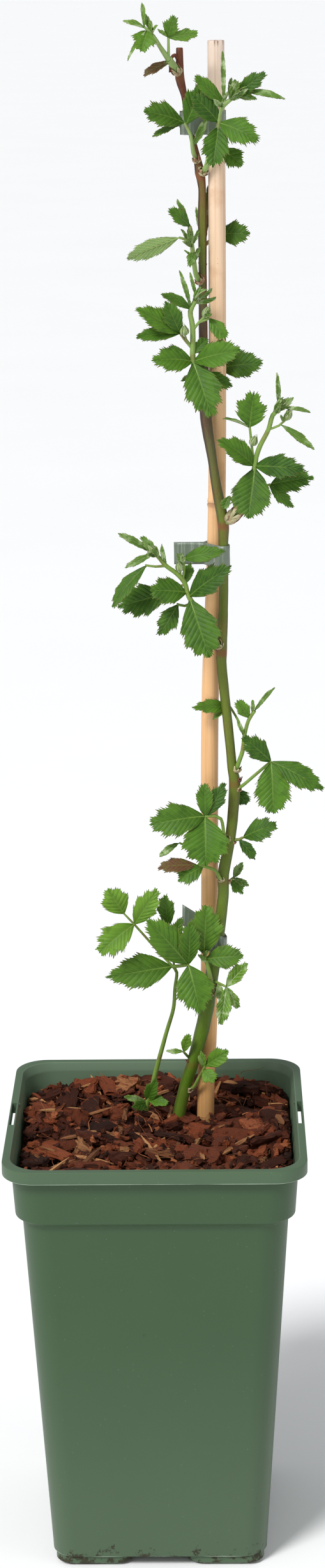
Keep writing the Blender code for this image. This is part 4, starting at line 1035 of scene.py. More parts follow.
# Stalks are (first radius, last radius, points). Leaves are (root, tip, width), with the turn of the
# face about its own length where it is turned, and a word where it is bronze, fresh and bright,
# pale with down, or sharp-tipped. Bunches of folded young leaves and flower buds follow below.
SHOOTS = {
    "shoot_01": (
        ((1.5, 1.9, (17, 24, 741), (15, 20, 745), (12, 16, 749)),
         (1.4, 0.6, (12, 16, 749), (8, 13, 755), (5, 11, 760), (1, 9, 764)),
         (0.7, 0.6, (12, 16, 750), (12, 14, 755), (12, 13, 759))),
        (((12, 13, 759), (15, 11, 769), 8), ((12, 13, 759), (26, 10, 761), 6, 35),
         ((4, 10, 763), (-1, 4, 753), 11),
         ((1, 9, 764), (0, 10, 775), 2.4), ((2, 9, 764), (-9, 6, 767), 3),
         ((2, 9, 763), (-7, 5, 749), 2), ((5, 11, 761), (0, 13, 771), 3),
         ((11, 17, 747), (0, 12, 742), 5, "bronze"), ((12, 13, 759), (7, 10, 763), 2))),
    "shoot_02": (
        ((1.2, 0.7, (25, 27, 702), (23, 22, 706), (22, 19, 714), (19, 18, 720)),),
        (((19, 18, 720), (0, 11, 726), 13), ((19, 18, 720), (4, 13, 714), 6, 45),
         ((20, 18, 719), (29, 17, 738), 12), ((23, 21, 709), (30, 16, 723), 4, 20))),
    "shoot_03": (
        ((1.4, 0.9, (26, 27, 695), (29, 22, 699), (32, 17, 710), (35, 13, 719), (36, 12, 726),
          (41, 11, 731), (46, 10, 734)),
         (0.8, 0.7, (31, 18, 706), (34, 18, 707), (37, 18, 708))),
        (((35, 12, 720), (23, 9, 733), 11), ((36, 12, 720), (54, 4, 712), 13),
         ((35, 12, 718), (32, 5, 700), 13), ((37, 18, 708), (46, 14, 700), 10),
         ((38, 12, 728), (37, 10, 753), 2.4), ((38, 12, 728), (24, 8, 742), 7),
         ((44, 10, 733), (57, 6, 743), 8), ((46, 10, 734), (66, 5, 731), 4),
         ((43, 11, 732), (53, 8, 731), 4), ((40, 11, 730), (43, 10, 740), 3),
         ((43, 11, 732), (48, 11, 740), 3))),
    "shoot_04": (
        ((1.3, 1.0, (27, 27, 643), (24, 24, 648), (23, 22, 654), (22, 20, 663), (21, 18, 672)),
         (0.8, 0.6, (22, 20, 662), (19, 17, 666), (16, 16, 667))),
        (((21, 18, 672), (11, 13, 681), 7.5), ((21, 18, 672), (15, 16, 685), 3),
         ((16, 16, 667), (-9, 9, 658), 9, 150), ((23, 21, 660), (21, 15, 653), 5),
         ((22, 20, 662), (17, 16, 671), 2.2))),
    "shoot_05": (
        ((1.0, 0.8, (27, 27, 653), (27, 31, 657), (28, 35, 661), (34, 36, 666)),),
        (((34, 36, 666), (50, 33, 667), 12), ((28, 35, 661), (24, 31, 680), 2.5),
         ((28, 35, 661), (30, 34, 690), 3))),
    "shoot_06": (
        ((1.6, 1.2, (27, 24, 597), (24, 20, 601), (22, 16, 609), (22, 16, 615), (22, 16, 625),
          (21, 17, 632), (24, 17, 638)),
         (0.7, 0.6, (22, 16, 614), (18, 15, 619), (16, 14, 622)),
         (0.6, 0.5, (21, 16, 616), (19, 14, 619), (18, 13, 622)),
         (0.7, 0.6, (22, 16, 623), (25, 15, 627), (28, 14, 630)),
         (0.6, 0.6, (25, 15, 627), (30, 14, 629))),
        (((22, 16, 608), (2, 8, 610), 13.5), ((22, 16, 608), (45, 6, 615), 13.5),
         ((22, 16, 608), (31, 4, 583), 18), ((24, 20, 602), (41, 16, 596), 8),
         ((21, 17, 633), (16, 14, 652), 2.5),
         ((21, 17, 633), (7, 12, 641), 6), ((16, 14, 622), (-5, 6, 635), 11),
         ((16, 14, 622), (-5, 8, 621), 8), ((16, 14, 622), (9, 10, 638), 9.5),
         ((30, 14, 629), (38, 10, 619), 8), ((22, 16, 612), (29, 19, 619), 6),
         ((24, 20, 601), (16, 16, 599), 3), ((23, 17, 636), (26, 15, 644), 3),
         ((18, 15, 643), (21, 13, 651), 2))),
    "shoot_07": (
        ((1.0, 0.8, (27, 24, 594), (27, 29, 596), (29, 34, 598), (34, 36, 602)),),
        (((34, 36, 602), (56, 31, 605), 14),)),
    "shoot_08": (
        ((2.0, 1.5, (36, 20, 529), (40, 18, 531), (43, 16, 537)),
         (1.4, 1.1, (42, 16, 535), (46, 14, 544), (51, 13, 556), (52, 13, 562), (54, 12, 568),
          (58, 11, 576), (60, 10, 583), (64, 9, 587)),
         (0.7, 0.6, (46, 14, 544), (52, 17, 546), (59, 18, 548)),
         (0.7, 0.6, (51, 13, 558), (50, 13, 567), (49, 12, 577)),
         (0.6, 0.5, (58, 11, 576), (63, 10, 578), (67, 8, 582)),
         (0.6, 0.5, (42, 16, 535), (41, 15, 540), (39, 15, 543))),
        (((51, 13, 558), (33, 6, 572), 12), ((51, 13, 558), (76, 5, 557), 12),
         ((51, 13, 557), (48, 3, 534), 19.5), ((59, 18, 548), (80, 13, 552), 12),
         ((58, 18, 548), (70, 14, 537), 6.5), ((39, 15, 543), (36, 13, 537), 5),
         ((49, 12, 577), (51, 8, 595), 15), ((49, 12, 577), (36, 8, 582), 4, 55),
         ((63, 9, 586), (62, 7, 604), 2.5), ((64, 9, 587), (78, 5, 585), 2.5),
         ((61, 10, 584), (70, 7, 592), 4.5), ((64, 10, 579), (80, 5, 567), 4.5))),
    "shoot_09": (
        ((1.5, 1.0, (35, 22, 465), (32, 18, 470), (30, 16, 475), (24, 13, 486), (19, 12, 494),
          (17, 12, 501), (13, 11, 506), (8, 10, 510), (4, 9, 515), (1, 9, 517)),
         (0.7, 0.5, (8, 10, 510), (3, 8, 510), (-2, 7, 511)),
         (0.7, 0.6, (21, 13, 491), (17, 14, 489), (13, 14, 490)),
         (0.7, 0.6, (17, 12, 500), (13, 15, 498), (9, 16, 495)),
         (0.6, 0.5, (15, 12, 503), (15, 11, 507), (14, 10, 509)),
         (0.6, 0.6, (16, 12, 502), (17, 11, 509), (16, 10, 513))),
        (((20, 12, 494), (40, 4, 511), 13.5), ((20, 12, 493), (29, 1, 466), 19),
         ((18, 12, 496), (0, 4, 499), 14), ((14, 14, 490), (4, 10, 475), 10),
         ((9, 16, 495), (-16, 12, 489), 16), ((-1, 7, 511), (-18, 2, 491), 10, 35),
         ((2, 9, 516), (-12, 6, 510), 4), ((1, 9, 517), (-15, 6, 527), 4),
         ((3, 9, 515), (-4, 8, 525), 5), ((16, 10, 513), (37, 5, 518), 8.5),
         ((17, 12, 500), (20, 17, 510), 6), ((28, 15, 480), (24, 17, 488), 5),
         ((8, 10, 510), (6, 9, 521), 2.5))),
    "shoot_10": (
        ((1.3, 0.9, (41, 24, 400), (43, 22, 407), (45, 22, 413), (46, 22, 421), (48, 21, 429),
          (51, 20, 434)),
         (0.6, 0.6, (46, 22, 420), (43, 27, 427), (39, 28, 434))),
        (((39, 28, 434), (20, 15, 437), 8), ((39, 28, 434), (30, 19, 430), 3),
         ((49, 21, 430), (42, 19, 440), 7), ((51, 20, 434), (61, 16, 447), 2.6),
         ((46, 22, 420), (42, 21, 431), 2.3), ((50, 20, 433), (50, 19, 440), 2.3))),
    "shoot_11": (
        ((0.9, 0.7, (41, 24, 392), (45, 22, 395), (52, 19, 402), (59, 16, 409)),),
        (((59, 16, 409), (60, 8, 384), 18), ((59, 16, 409), (85, 10, 396), 12.5),
         ((59, 16, 409), (45, 13, 423), 11))),
    "shoot_12": (
        ((0.8, 0.7, (41, 24, 388), (41, 28, 389), (42, 30, 390)),),
        (((42, 30, 390), (47, 28, 383), 8.5),)),
    "shoot_13": (
        ((0.9, 0.8, (39, 23, 367), (36, 18, 368), (35, 18, 374), (34, 17, 379), (31, 16, 381),
          (26, 15, 381)),),
        (((26, 15, 381), (-2, 8, 379), 17), ((26, 15, 381), (26, 17, 398), 9),
         ((27, 15, 381), (36, 17, 398), 9), ((26, 15, 381), (26, 5, 358), 23.5))),
    "shoot_14": (
        ((0.9, 0.7, (39, 23, 366), (43, 21, 367), (45, 21, 368)),),
        (((45, 21, 368), (62, 16, 376), 12.5), ((43, 21, 367), (51, 18, 357), 6.5))),
    "shoot_15": (
        ((1.0, 0.7, (35, 21, 346), (33, 17, 348), (31, 17, 352), (26, 17, 354), (22, 17, 355)),
         (0.6, 0.5, (26, 17, 354), (19, 17, 363), (13, 16, 367))),
        (((13, 16, 367), (3, 12, 361), 4, "pale"), ((22, 17, 355), (2, 12, 355), 8, "bronze"),
         ((25, 17, 354), (12, 12, 348), 10.5))),
    "shoot_16": (
        ((1.0, 0.7, (35, 21, 344), (38, 24, 344), (40, 26, 345)),),
        (((40, 26, 345), (48, 23, 342), 3.5), ((40, 26, 345), (45, 24, 354), 4.6),
         ((39, 25, 344), (45, 22, 338), 6.5))),
    "shoot_17": (
        ((1.2, 0.9, (29, 19, 286), (29, 14, 289), (28, 13, 297), (26, 13, 305), (25, 13, 309)),),
        (((25, 13, 309), (26, 11, 336), 17.5), ((26, 13, 306), (45, 8, 310), 12.5),
         ((26, 13, 304), (22, 10, 310), 2.6))),
    "shoot_18": (
        ((0.8, 0.6, (28, 19, 293), (32, 14, 293), (36, 11, 292)),),
        (((36, 11, 292), (47, 7, 306), 7.6, "pale"), ((36, 11, 292), (33, 4, 274), 7.6, "pale"),
         ((36, 11, 292), (42, 12, 280), 5, "pale"), ((32, 14, 293), (34, 11, 283), 5, "pale"))),
    "shoot_19": (
        ((0.8, 0.6, (19, 21, 248), (16, 20, 251), (15, 18, 253), (14, 16, 255)),),
        (((14, 16, 255), (5, 12, 257), 3), ((14, 16, 255), (17, 13, 266), 5.6))),
    "shoot_20": (
        ((1.1, 0.7, (15, 24, 231), (19, 22, 233), (21, 19, 238), (25, 16, 247)),),
        (((25, 16, 247), (37, 12, 257), 9.5), ((24, 17, 245), (30, 11, 240), 8.5),
         ((24, 17, 246), (23, 15, 256), 4.6))),
}
# How large the scales round a shoot's foot are, where they aren't of the common size
SHEATHS = {"shoot_01": 1.3, "shoot_08": 2.0, "shoot_06": 1.3, "shoot_12": 0.6, "shoot_14": 0.6,
           "shoot_18": 0.6, "shoot_19": 0.6}
# Bunches of folded young leaves at growing tips: (place, direction, length, count)
TUFTS = {
    "shoot_01": (((4, 11, 761), (-0.3, -0.4, 1), 7, 3),),
    "shoot_03": (((42, 11, 731), (0.7, -0.4, 0.9), 12, 8), ((38, 12, 727), (0.5, -0.4, 1), 9, 4)),
    "shoot_04": (((22, 20, 663), (-0.2, -0.6, 1), 12, 6), ((23, 21, 655), (-0.2, -0.8, 0.8), 9, 4)),
    "shoot_06": (((24, 17, 637), (0.6, -0.4, 1), 10, 4), ((28, 14, 630), (0.6, -0.5, 0.8), 7, 3)),
    "shoot_08": (((62, 10, 586), (0.6, -0.4, 0.8), 10, 7), ((66, 9, 581), (0.7, -0.4, 0.8), 7, 3)),
    "shoot_09": (((3, 9, 515), (-0.7, -0.4, 0.8), 8, 5), ((16, 10, 511), (0, -0.5, 1), 7, 3)),
    "shoot_17": (((25, 13, 309), (0.2, -0.6, 1), 6, 3),),
}
# Flower buds: (root, tip, radius)
BUDS = {
    "shoot_06": (((18, 13, 621), (18, 12, 626), 1.9), ((28, 14, 629), (30, 13, 635), 1.7),
                 ((24, 17, 637), (25, 16, 642), 1.5)),
    "shoot_08": (((50, 13, 568), (52, 11, 573), 1.8), ((66, 9, 581), (69, 7, 586), 1.6),
                 ((64, 9, 586), (67, 8, 591), 1.9)),
    "shoot_09": (((15, 11, 507), (14, 9, 512), 1.8), ((2, 9, 516), (-1, 8, 521), 1.8)),
}
# How fresh the leaves of a shoot are, where they aren't of the common dark green
FRESHNESS = {"shoot_01": 0.45, "shoot_05": 0.1, "shoot_07": 0.0, "shoot_10": 0.4, "shoot_12": 0.1,
             "shoot_14": 0.1, "shoot_17": 0.35, "shoot_18": 0.7, "shoot_19": 0.6, "shoot_20": 0.5,
             "sucker_shoot": 0.2}

vein_tree, vein_in = new_group(
    "leaf_veins",
    (("Blade", "Vector", None), ("Place", "Vector", None), ("Width", "Float", 0.1), ("Depth", "Float", 0.4)),
    (("Veins", "Float"), ("Net", "Float"), ("Edge", "Float"), ("Mottle", "Float"), ("Normal", "Vector")))
_, across, order = split(vein_tree, vein_in["Blade"])
aside = count(vein_tree, "ABSOLUTE", across)
from_vein = count(vein_tree, "PINGPONG", order, 0.5)
side_veins = rise(vein_tree, from_vein, vein_in["Width"], 0.0)
midrib = rise(vein_tree, aside, count(vein_tree, "MULTIPLY", vein_in["Width"], 0.9), 0.0)
veins = calc(vein_tree, "MAXIMUM", side_veins, midrib)
meshes = add(vein_tree, "TexVoronoi", {"Vector": vein_in["Place"], "Scale": 1500.0},
             feature="DISTANCE_TO_EDGE").outputs["Distance"]
net = rise(vein_tree, meshes, 0.10, 0.0)
height = count(vein_tree, "SUBTRACT", clouds(vein_tree, vein_in["Place"], 700.0, 3.0, 0.5),
               count(vein_tree, "ADD", count(vein_tree, "MULTIPLY", net, 0.12),
                     count(vein_tree, "MULTIPLY", veins, 0.9)))
crumple = add(vein_tree, "Bump", {"Strength": vein_in["Depth"], "Distance": 0.0005, "Height": height})
end_group(vein_tree, Veins=veins, Net=net, Edge=rise(vein_tree, aside, 0.90, 1.0),
          Mottle=clouds(vein_tree, vein_in["Place"], 220.0, 4.0, 0.6), Normal=crumple.outputs["Normal"])


def leaf_finish(name, upper):
    """Leaf tissue. The blades carry (along, across, vein) places and a (tone, fresh, bronze) look."""
    material, tree, shader = new_finish(name, Specular_IOR_Level=0.26 if upper else 0.2,
                                        Sheen_Weight=0.02 if upper else 0.1, Sheen_Roughness=0.4)
    blade = carried(tree, "blade", "Vector")
    tone, fresh, bronze = split(tree, carried(tree, "look", "Vector"))
    down = carried(tree, "down")
    veins = use(tree, vein_tree, Blade=blade, Place=where(tree), Width=0.09 if upper else 0.15,
                Depth=0.32 if upper else 0.6)
    if upper:
        # Painted shade: the tissue is darker beside the midrib. It is also deeper green in some patches
        inner = rise(tree, count(tree, "ABSOLUTE", split(tree, blade)["Y"]), 0.7, 0.08)
        deep_tone_and_midrib_shade = calc(tree, "MAXIMUM", inner, rise(tree, veins["Mottle"], 0.50, 0.36))
        flecks = use(tree, wear_tree, Place=where(tree), Speck_Scale=520.0, Speck_Size=0.09)["Specks"]
        streaks = calc(tree, "MAXIMUM", veins["Veins"], rise(tree, veins["Mottle"], 0.50, 0.62))
        colour = stain(
            tree, mix(tree, tone, paint(32, 70, 5), paint(68, 110, 18)),
            (fresh, 1.0, (112, 154, 44)), (deep_tone_and_midrib_shade, 0.38, (28, 62, 5)), (bronze, 1.0, (100, 64, 44)),
            (rise(tree, veins["Mottle"], 0.4, 0.65), 0.25, (84, 126, 28)),
            (veins["Veins"], 0.34, (128, 160, 64)), (veins["Net"], 0.10, (26, 54, 6)),
            # Painted highlight: the rim of each leaflet is paler
            (veins["Edge"], 0.15, (130, 158, 84)), (carried(tree, "tooth"), 0.6, (120, 72, 44)),
            (flecks, 0.45, (172, 192, 140)),
            (down, calc(tree, "MULTIPLY", streaks, 0.6), (196, 210, 164)))
    else:
        colour = stain(
            tree, mix(tree, tone, paint(112, 142, 78), paint(140, 168, 100)),
            (bronze, 1.0, (142, 112, 84)), (veins["Veins"], 0.6, (180, 196, 134)),
            (veins["Net"], 0.3, (96, 126, 66)), (down, 0.5, (200, 212, 176)))
    wire(tree, shader, Base_Color=colour, Normal=veins["Normal"],
         Roughness=shift(tree, veins["Mottle"], 0.40 if upper else 0.6, 0.58 if upper else 0.85))
    return material


def stalk_colour(tree, mask):
    height = split(tree, mask["Place"])["Z"]
    return stain(tree, mix(tree, mask["Grain"], paint(92, 126, 40), paint(134, 162, 70)),
                 (rise(tree, height, 0.5, 0.76), 0.45, (158, 182, 122)),
                 (rise(tree, mask["Clouds"], 0.50, 0.66), 0.5, (122, 80, 52)),
                 (mask["Specks"], 0.4, (196, 200, 160)))


def bud_colour(tree, mask):
    """Bud and sepals: green inside, silvery at the sepals' hairy edges."""
    return stain(tree, mix(tree, mask["Clouds"], paint(98, 124, 60), paint(140, 160, 92)),
                 (carried(tree, "tooth"), 0.8, (196, 204, 170)), (mask["Specks"], 0.6, (214, 216, 190)))


def sheath_colour(tree, mask):
    """The papery scales round the foot of a shoot: straw green, brown and pinkish where they dry."""
    return stain(tree, mix(tree, mask["Grain"], paint(150, 146, 96), paint(210, 198, 164)),
                 (rise(tree, mask["Clouds"], 0.47, 0.60), 1.0, (150, 96, 76)))


def outline_at(share, point):
    """Half width of a leaflet, as a share of its widest, at a share of its length: a wedge at the
    foot, and an end that is blunt at point 0 and sharp at point 1."""
    widest = 0.62 - 0.16 * point
    if share < widest:
        return 1 - (1 - share / widest) ** 1.65
    beyond = (share - widest) / (1 - widest)
    blunt = max(0.0, 1 - beyond ** 2.2) ** 0.6
    sharp = math.cos(beyond * math.pi / 2) ** 1.1
    return blunt + (sharp - blunt) * point


def new_foliage():
    bm = bmesh.new()
    layers = bm.verts.layers
    return (bm, layers.float_vector.new("blade"), layers.float_vector.new("look"),
            layers.float.new("tooth"), layers.float.new("down"))


def vein_rows(draw, veins):
    """Rows of a leaflet: (share of the midrib, share of the edge, vein count, tooth)."""
    rows = [(0.003 * i, LOW_VEIN_EDGE * i / 4, i / 4 - 1, 0.0) for i in (1, 2, 3)]
    for vein in range(veins):
        bold = draw.uniform(0.65, 1.35)
        for phase, out in TEETH:
            share = (vein + phase) / veins
            edge = 1 - (1 - LOW_VEIN_EDGE) * (1 - share) ** VEIN_LEAN
            rows.append((max(0.012, share * 0.97), edge, vein + phase, out * bold))
    return rows


def leaflet(foliage, draw, foot, tip, width, turn, look, point, down):
    """One toothed leaflet whose rows of points follow its side veins. It gives its midrib's line."""
    bm, blade, looks, tooth_layer, down_layer = foliage
    along = (tip - foot).normalized()
    length = (tip - foot).length
    spin = Matrix.Rotation(math.radians(turn + draw.gauss(0, 5)), 3, along)
    across = spin @ along.cross(FACING).normalized()
    normal = across.cross(along)
    veins = max(FEWEST_VEINS, min(MOST_VEINS, round(length / MM / VEIN_SPACING)))
    columns = next(shares for least, shares in COLUMNS if width > least)
    arch, fold = draw.uniform(0.03, 0.12), draw.uniform(0.0, 0.28) + 0.6 * down
    twist, wave = draw.gauss(0, 0.14), draw.uniform(0.01, 0.045) * width * MM
    wave_start = draw.uniform(0, math.tau)
    half_width = (width * 0.5 - 0.25) * MM
    pleat = min(PLEAT_MOST, 0.030 * width) * MM
    tooth_size = min(TOOTH_MOST, 0.25 + 0.105 * width) * MM
    lobe_size = LOBE_SHARE * tooth_size * draw.uniform(0.6, 1.3)
    lobe_starts = [draw.uniform(0, math.tau) for _ in range(2)]
    rows = []
    for middle, edge, order, out in vein_rows(draw, veins):
        # The rim on either side has teeth, and slower lobes that differ from side to side
        rib = Vector((middle * length, 0.0))
        rims = []
        for lobe_start in lobe_starts:
            rim = Vector((edge * length * 0.985, half_width * outline_at(edge, point)))
            bite = tooth_size * out * 0.55 * draw.uniform(0.7, 1.3)
            bite += lobe_size * math.sin(order * 2.4 + lobe_start) * min(1.0, 3 * edge)
            rims.append(rim + (rim - rib).normalized() * bite * min(1.0, 6 * (1 - middle)))
        # The blade arches along its length, folds at the midrib, sinks at its veins, waves and twists
        ridge = pleat * math.sin(math.pi * (order % 1)) ** 0.8
        row = []
        for s in [-c for c in reversed(columns)] + [0.0] + list(columns):
            far = abs(s)
            spot = rib.lerp(rims[s > 0], far)
            ahead, reach = spot.x, math.copysign(spot.y, s)
            share = ahead / length
            lift = arch * length * 4 * share * (1 - share) + fold * abs(reach)
            lift += ridge * min(1, far * 4) * (1 - 0.45 * far ** 3)
            lift += wave * far * far * math.sin(order * 1.5 + wave_start + (s > 0) * 1.3)
            angle = twist * (share - 0.3)
            vert = bm.verts.new(foot + along * ahead
                                + across * (reach * math.cos(angle) - lift * math.sin(angle))
                                + normal * (lift * math.cos(angle) + reach * math.sin(angle)))
            vert[blade] = (share, s, order)
            vert[looks] = look
            vert[tooth_layer] = max(0.0, out) * far ** 12
            vert[down_layer] = down
            row.append(vert)
        rows.append(row)
    ends = [bm.verts.new(p) for p in (foot, tip)]
    for end, place in zip(ends, ((0, 0, -1), (1, 0, veins))):
        end[blade] = place
        end[looks] = look
        end[down_layer] = down
    for i in range(len(rows[0]) - 1):
        bm.faces.new((ends[0], rows[0][i + 1], rows[0][i]))
        bm.faces.new((ends[1], rows[-1][i], rows[-1][i + 1]))
    skin(bm, rows, closed=False)
    centre = len(columns)
    line = [foot] + [row[centre].co.copy() for row in rows[3::3]]
    return [p - normal * (BLADE_THICK * MM) for p in line[:max(2, round(len(line) * 0.85))]]


def flower_bud(buds, draw, foot, tip, radius):
    """A round bud wrapped in five pointed sepals, whose tips meet above it."""
    bm, edge = buds[0], buds[3]
    axis = tip - foot
    turn = axis.to_track_quat("Z", "Y").to_matrix()
    middle, tall = foot + axis * 0.45, axis.length
    verts = bmesh.ops.create_uvsphere(bm, u_segments=14, v_segments=9, radius=1.0)["verts"]
    for vert in verts:
        x, y, z = vert.co
        slim = radius * (1 - 0.3 * max(0.0, z)) * MM
        vert.co = middle + turn @ Vector((x * slim, y * slim, z * tall * 0.48))
    for k in range(5):
        start = math.tau * (k + draw.uniform(-0.1, 0.1)) / 5
        rows = []
        for i in range(7):
            t = i / 6
            level = -0.95 + 2.55 * t
            body = math.sqrt(1 - level ** 2) if level < 0.55 else 0.835 * (1.6 - level) / 1.05
            out = radius * (body * (1 - 0.25 * max(0.0, level)) * 1.1 + 0.08)
            half = 0.66 * (1 - t ** 1.6) + 0.02
            row = []
            for s in (-1, -0.5, 0, 0.5, 1):
                angle = start + s * half
                vert = bm.verts.new(middle + turn @ Vector((
                    math.cos(angle) * out * MM * (1.06 - 0.06 * abs(s)),
                    math.sin(angle) * out * MM * (1.06 - 0.06 * abs(s)), level * tall * 0.48)))
                vert[edge] = abs(s) ** 3
                row.append(vert)
            rows.append(row)
        skin(bm, rows, closed=False)


def folded_leaves(draw, place, aim, size, total):
    """Young leaves still folded along their ribs, bunched at a growing tip."""
    place, aim = Vector(place), Vector(aim).normalized()
    for i in range(total):
        lean = Vector([draw.gauss(0, 0.38) for _ in range(3)])
        tip = place + (aim + lean).normalized() * size * draw.uniform(0.6, 1.0)
        root = place - aim * size * 0.25 * i / total
        yield tuple(root), tuple(tip), draw.uniform(1.8, 3.0), draw.uniform(-60, 60), "pale"


def nearest_on(stalks, place):
    """The nearest point to place on any stalk's middle line."""
    spots = [Vector(row[:3]) * MM for stalk in stalks for row in smooth_path(stalk[2:], 1.0)]
    return min(spots, key=lambda spot: (spot - place).length)


def stalk_rows(stalk):
    first, last, *points = stalk
    path = smooth_path(points, STALK_STEP)
    return [(*p, first + (last - first) * i / (len(path) - 1)) for i, p in enumerate(path)]


def rooted(stalk, carrier):
    """A shoot's main stalk, with a swollen foot that starts in the middle of what carries it."""
    rows = stalk_rows(stalk)
    x, y, z, radius = rows[0]
    heart = at_height(carrier, z - 2.5)
    if math.dist(heart[:3], (x, y, z)) < 2 * radius:
        return rows
    return [(*heart[:3], radius * 1.1), *rows]


def grow_sheath(name, draw, finish, rows, stalk_radius, carrier):
    """The papery scales that hold the foot of a shoot, where its stalk leaves what carries it."""
    foot, second, third = (Vector(row[:3]) for row in rows[:3])
    aim, rising = third - foot, Vector(rows[min(5, len(rows) - 1)][:3]) - second
    heart = at_height(carrier, rows[0][2])
    start = foot + aim.normalized() * max(0.6, heart[3] - (foot - Vector(heart[:3])).length)
    size = SHEATHS.get(name, 1.0)
    radius = stalk_radius + 0.2 + 0.2 * size
    lean = aim.normalized() + rising.normalized() * size
    sheath = bmesh.new()
    scale_ring(sheath, draw, start * MM, lean, radius, (1.7 * radius + 1.0) * size, 0.25)
    scale_ring(sheath, draw, start * MM, lean, radius + 0.2, (1.2 * radius + 0.4) * size, 0.4, 4)
    piece = new_piece(f"{name}_sheath", sheath, "stem", finish)
    piece.data.shade_smooth()
    thicken(piece, 0.2)


def grow_shoot(name, plan, draw, finishes, carrier=None):
    """The stalks, leaflets and buds of one shoot, as pieces that stand for its solid."""
    stalks, leaves = plan
    upper, under, stalk_skin, bud_skin, sheath_skin = finishes
    stems = bmesh.new()
    if carrier:
        main = rooted(stalks[0], carrier)
        grow_tube(stems, main, STALK_SIDES, 0.06)
        grow_sheath(name, draw, sheath_skin, main, stalks[0][0], carrier)
    for stalk in stalks[1:] if carrier else stalks:
        grow_tube(stems, stalk_rows(stalk), STALK_SIDES, 0.06)
    for place, aim, size, total in TUFTS.get(name, ()):
        leaves += tuple(folded_leaves(draw, place, aim, size, total))
    foliage = new_foliage()
    for root, tip, width, *notes in leaves:
        foot = nearest_on(stalks, Vector(root) * MM)
        turn = sum(note for note in notes if not isinstance(note, str))
        fresh = FRESHNESS.get(name, 0.12) + draw.uniform(-0.12, 0.12) + (0.25 if width < 6 else 0.0)
        fresh += 0.6 if "fresh" in notes else 0.0
        look = (draw.random(), max(0.0, min(1.0, fresh)), 1.0 if "bronze" in notes else 0.0)
        point = draw.uniform(0.2, 0.7) if "sharp" not in notes else 0.9
        down = 0.85 if "pale" in notes else max(0.0, min(0.9, (6.0 - width) / 4))
        line = leaflet(foliage, draw, foot, Vector(tip) * MM, width, turn, look, point, down)
        # The midrib stands out below the blade
        thick = min(0.55, 0.16 + 0.024 * width)
        grow_tube(stems, [(*(p / MM), thick * (1 - 0.7 * i / len(line))) for i, p in enumerate(line)], 6)
    shade(new_piece(f"{name}_stalks", stems, "stem", stalk_skin), 50)
    leaf_piece = new_piece(f"{name}_leaves", foliage[0], "leaf", upper, under)
    leaf_piece.data.shade_smooth()
    thicken(leaf_piece, BLADE_THICK).material_offset = 1
    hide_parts(name)
    if name in BUDS:
        flowers = new_foliage()
        for root, tip, radius in BUDS[name]:
            flower_bud(flowers, draw, nearest_on(stalks, Vector(root) * MM), Vector(tip) * MM, radius)
        new_piece(f"{name}_buds", flowers[0], "leaf", bud_skin).data.shade_smooth()


young_stalk = worn_finish(
    "young_stalk", stalk_colour, rough=(0.42, 0.65),
    wear=dict(Cloud_Scale=90.0, Speck_Scale=1100.0, Speck_Size=0.25, Relief_Scale=1500.0, Relief_Depth=0.4),
    grain=dict(Stretch=(900.0, 900.0, 90.0)),
    Specular_IOR_Level=0.4, Sheen_Weight=0.15, Sheen_Roughness=0.4)
bud_green = worn_finish(
    "bud_green", bud_colour, rough=(0.55, 0.8),
    wear=dict(Cloud_Scale=350.0, Speck_Scale=1500.0, Speck_Size=0.35, Relief_Scale=2500.0, Relief_Depth=0.5),
    Specular_IOR_Level=0.3, Sheen_Weight=0.35, Sheen_Roughness=0.4)
papery_scales = worn_finish(
    "papery_bud_scales", sheath_colour, rough=(0.5, 0.8), wear=dict(Cloud_Scale=260.0),
    grain=dict(Stretch=(900.0, 900.0, 200.0), Depth=0.5), Specular_IOR_Level=0.3)
shoot_finishes = (leaf_finish("leaf_upper", True), leaf_finish("leaf_under", False), young_stalk,
                  bud_green, papery_scales)
for number, (name, plan) in enumerate(SHOOTS.items()):
    grow_shoot(name, plan, random.Random(100 + number), shoot_finishes, smooth_path(STEM, STEM_STEP))


# The sucker
# A soft new cane that has come up from the roots beside the main stem, with the largest and
# brightest leaves on the plant and a small tuft at its foot.

SUCKER = (
    ((1.6, 0.8, (-7, 31, 190), (-6, 30, 217), (-3, 28, 228), (-1, 27, 238), (5, 23, 262),
      (9, 20, 277), (10, 18, 289), (11, 16, 298), (9, 14, 302)),
     (0.9, 0.8, (9, 14, 302), (13, 12, 303), (17, 11, 304)),
     (0.7, 0.6, (9, 14, 302), (2, 14, 310), (-4, 12, 318), (-10, 10, 326)),
     (0.6, 0.5, (-10, 10, 326), (-15, 9, 332)),
     (0.6, 0.5, (10, 16, 300), (8, 16, 313), (7, 14, 325))),
    (((9, 14, 302), (-25, 4, 300), 18, "sharp"), ((17, 11, 304), (-4, 3, 331), 16.5),
     ((17, 11, 304), (18, 5, 329), 11), ((17, 11, 304), (23, 2, 280), 20, "sharp"),
     ((-15, 9, 332), (-23, 5, 347), 14, "fresh"), ((-10, 10, 326), (2, 7, 346), 12, "fresh"),
     ((-10, 10, 326), (-28, 4, 313), 15, "fresh"), ((7, 14, 324), (5, 12, 341), 9),
     ((8, 16, 312), (14, 16, 328), 6.5), ((-5, 29, 222), (0, 25, 237), 7.5),
     ((-5, 29, 222), (-17, 22, 228), 4), ((-5, 29, 221), (-13, 20, 223), 6),
     ((-4, 28, 223), (6, 21, 224), 6.5)))
grow_shoot("sucker_shoot", SUCKER, random.Random(77), shoot_finishes)


# The tape ties and their staples
# Soft olive PVC plant tape, wound once round cane and stem by a tying tool, which closes it with a
# small wire staple. The tape is thin, glossy and a little see-through, with faint lines in its surface and
# pale streaks across it that are painted highlights.

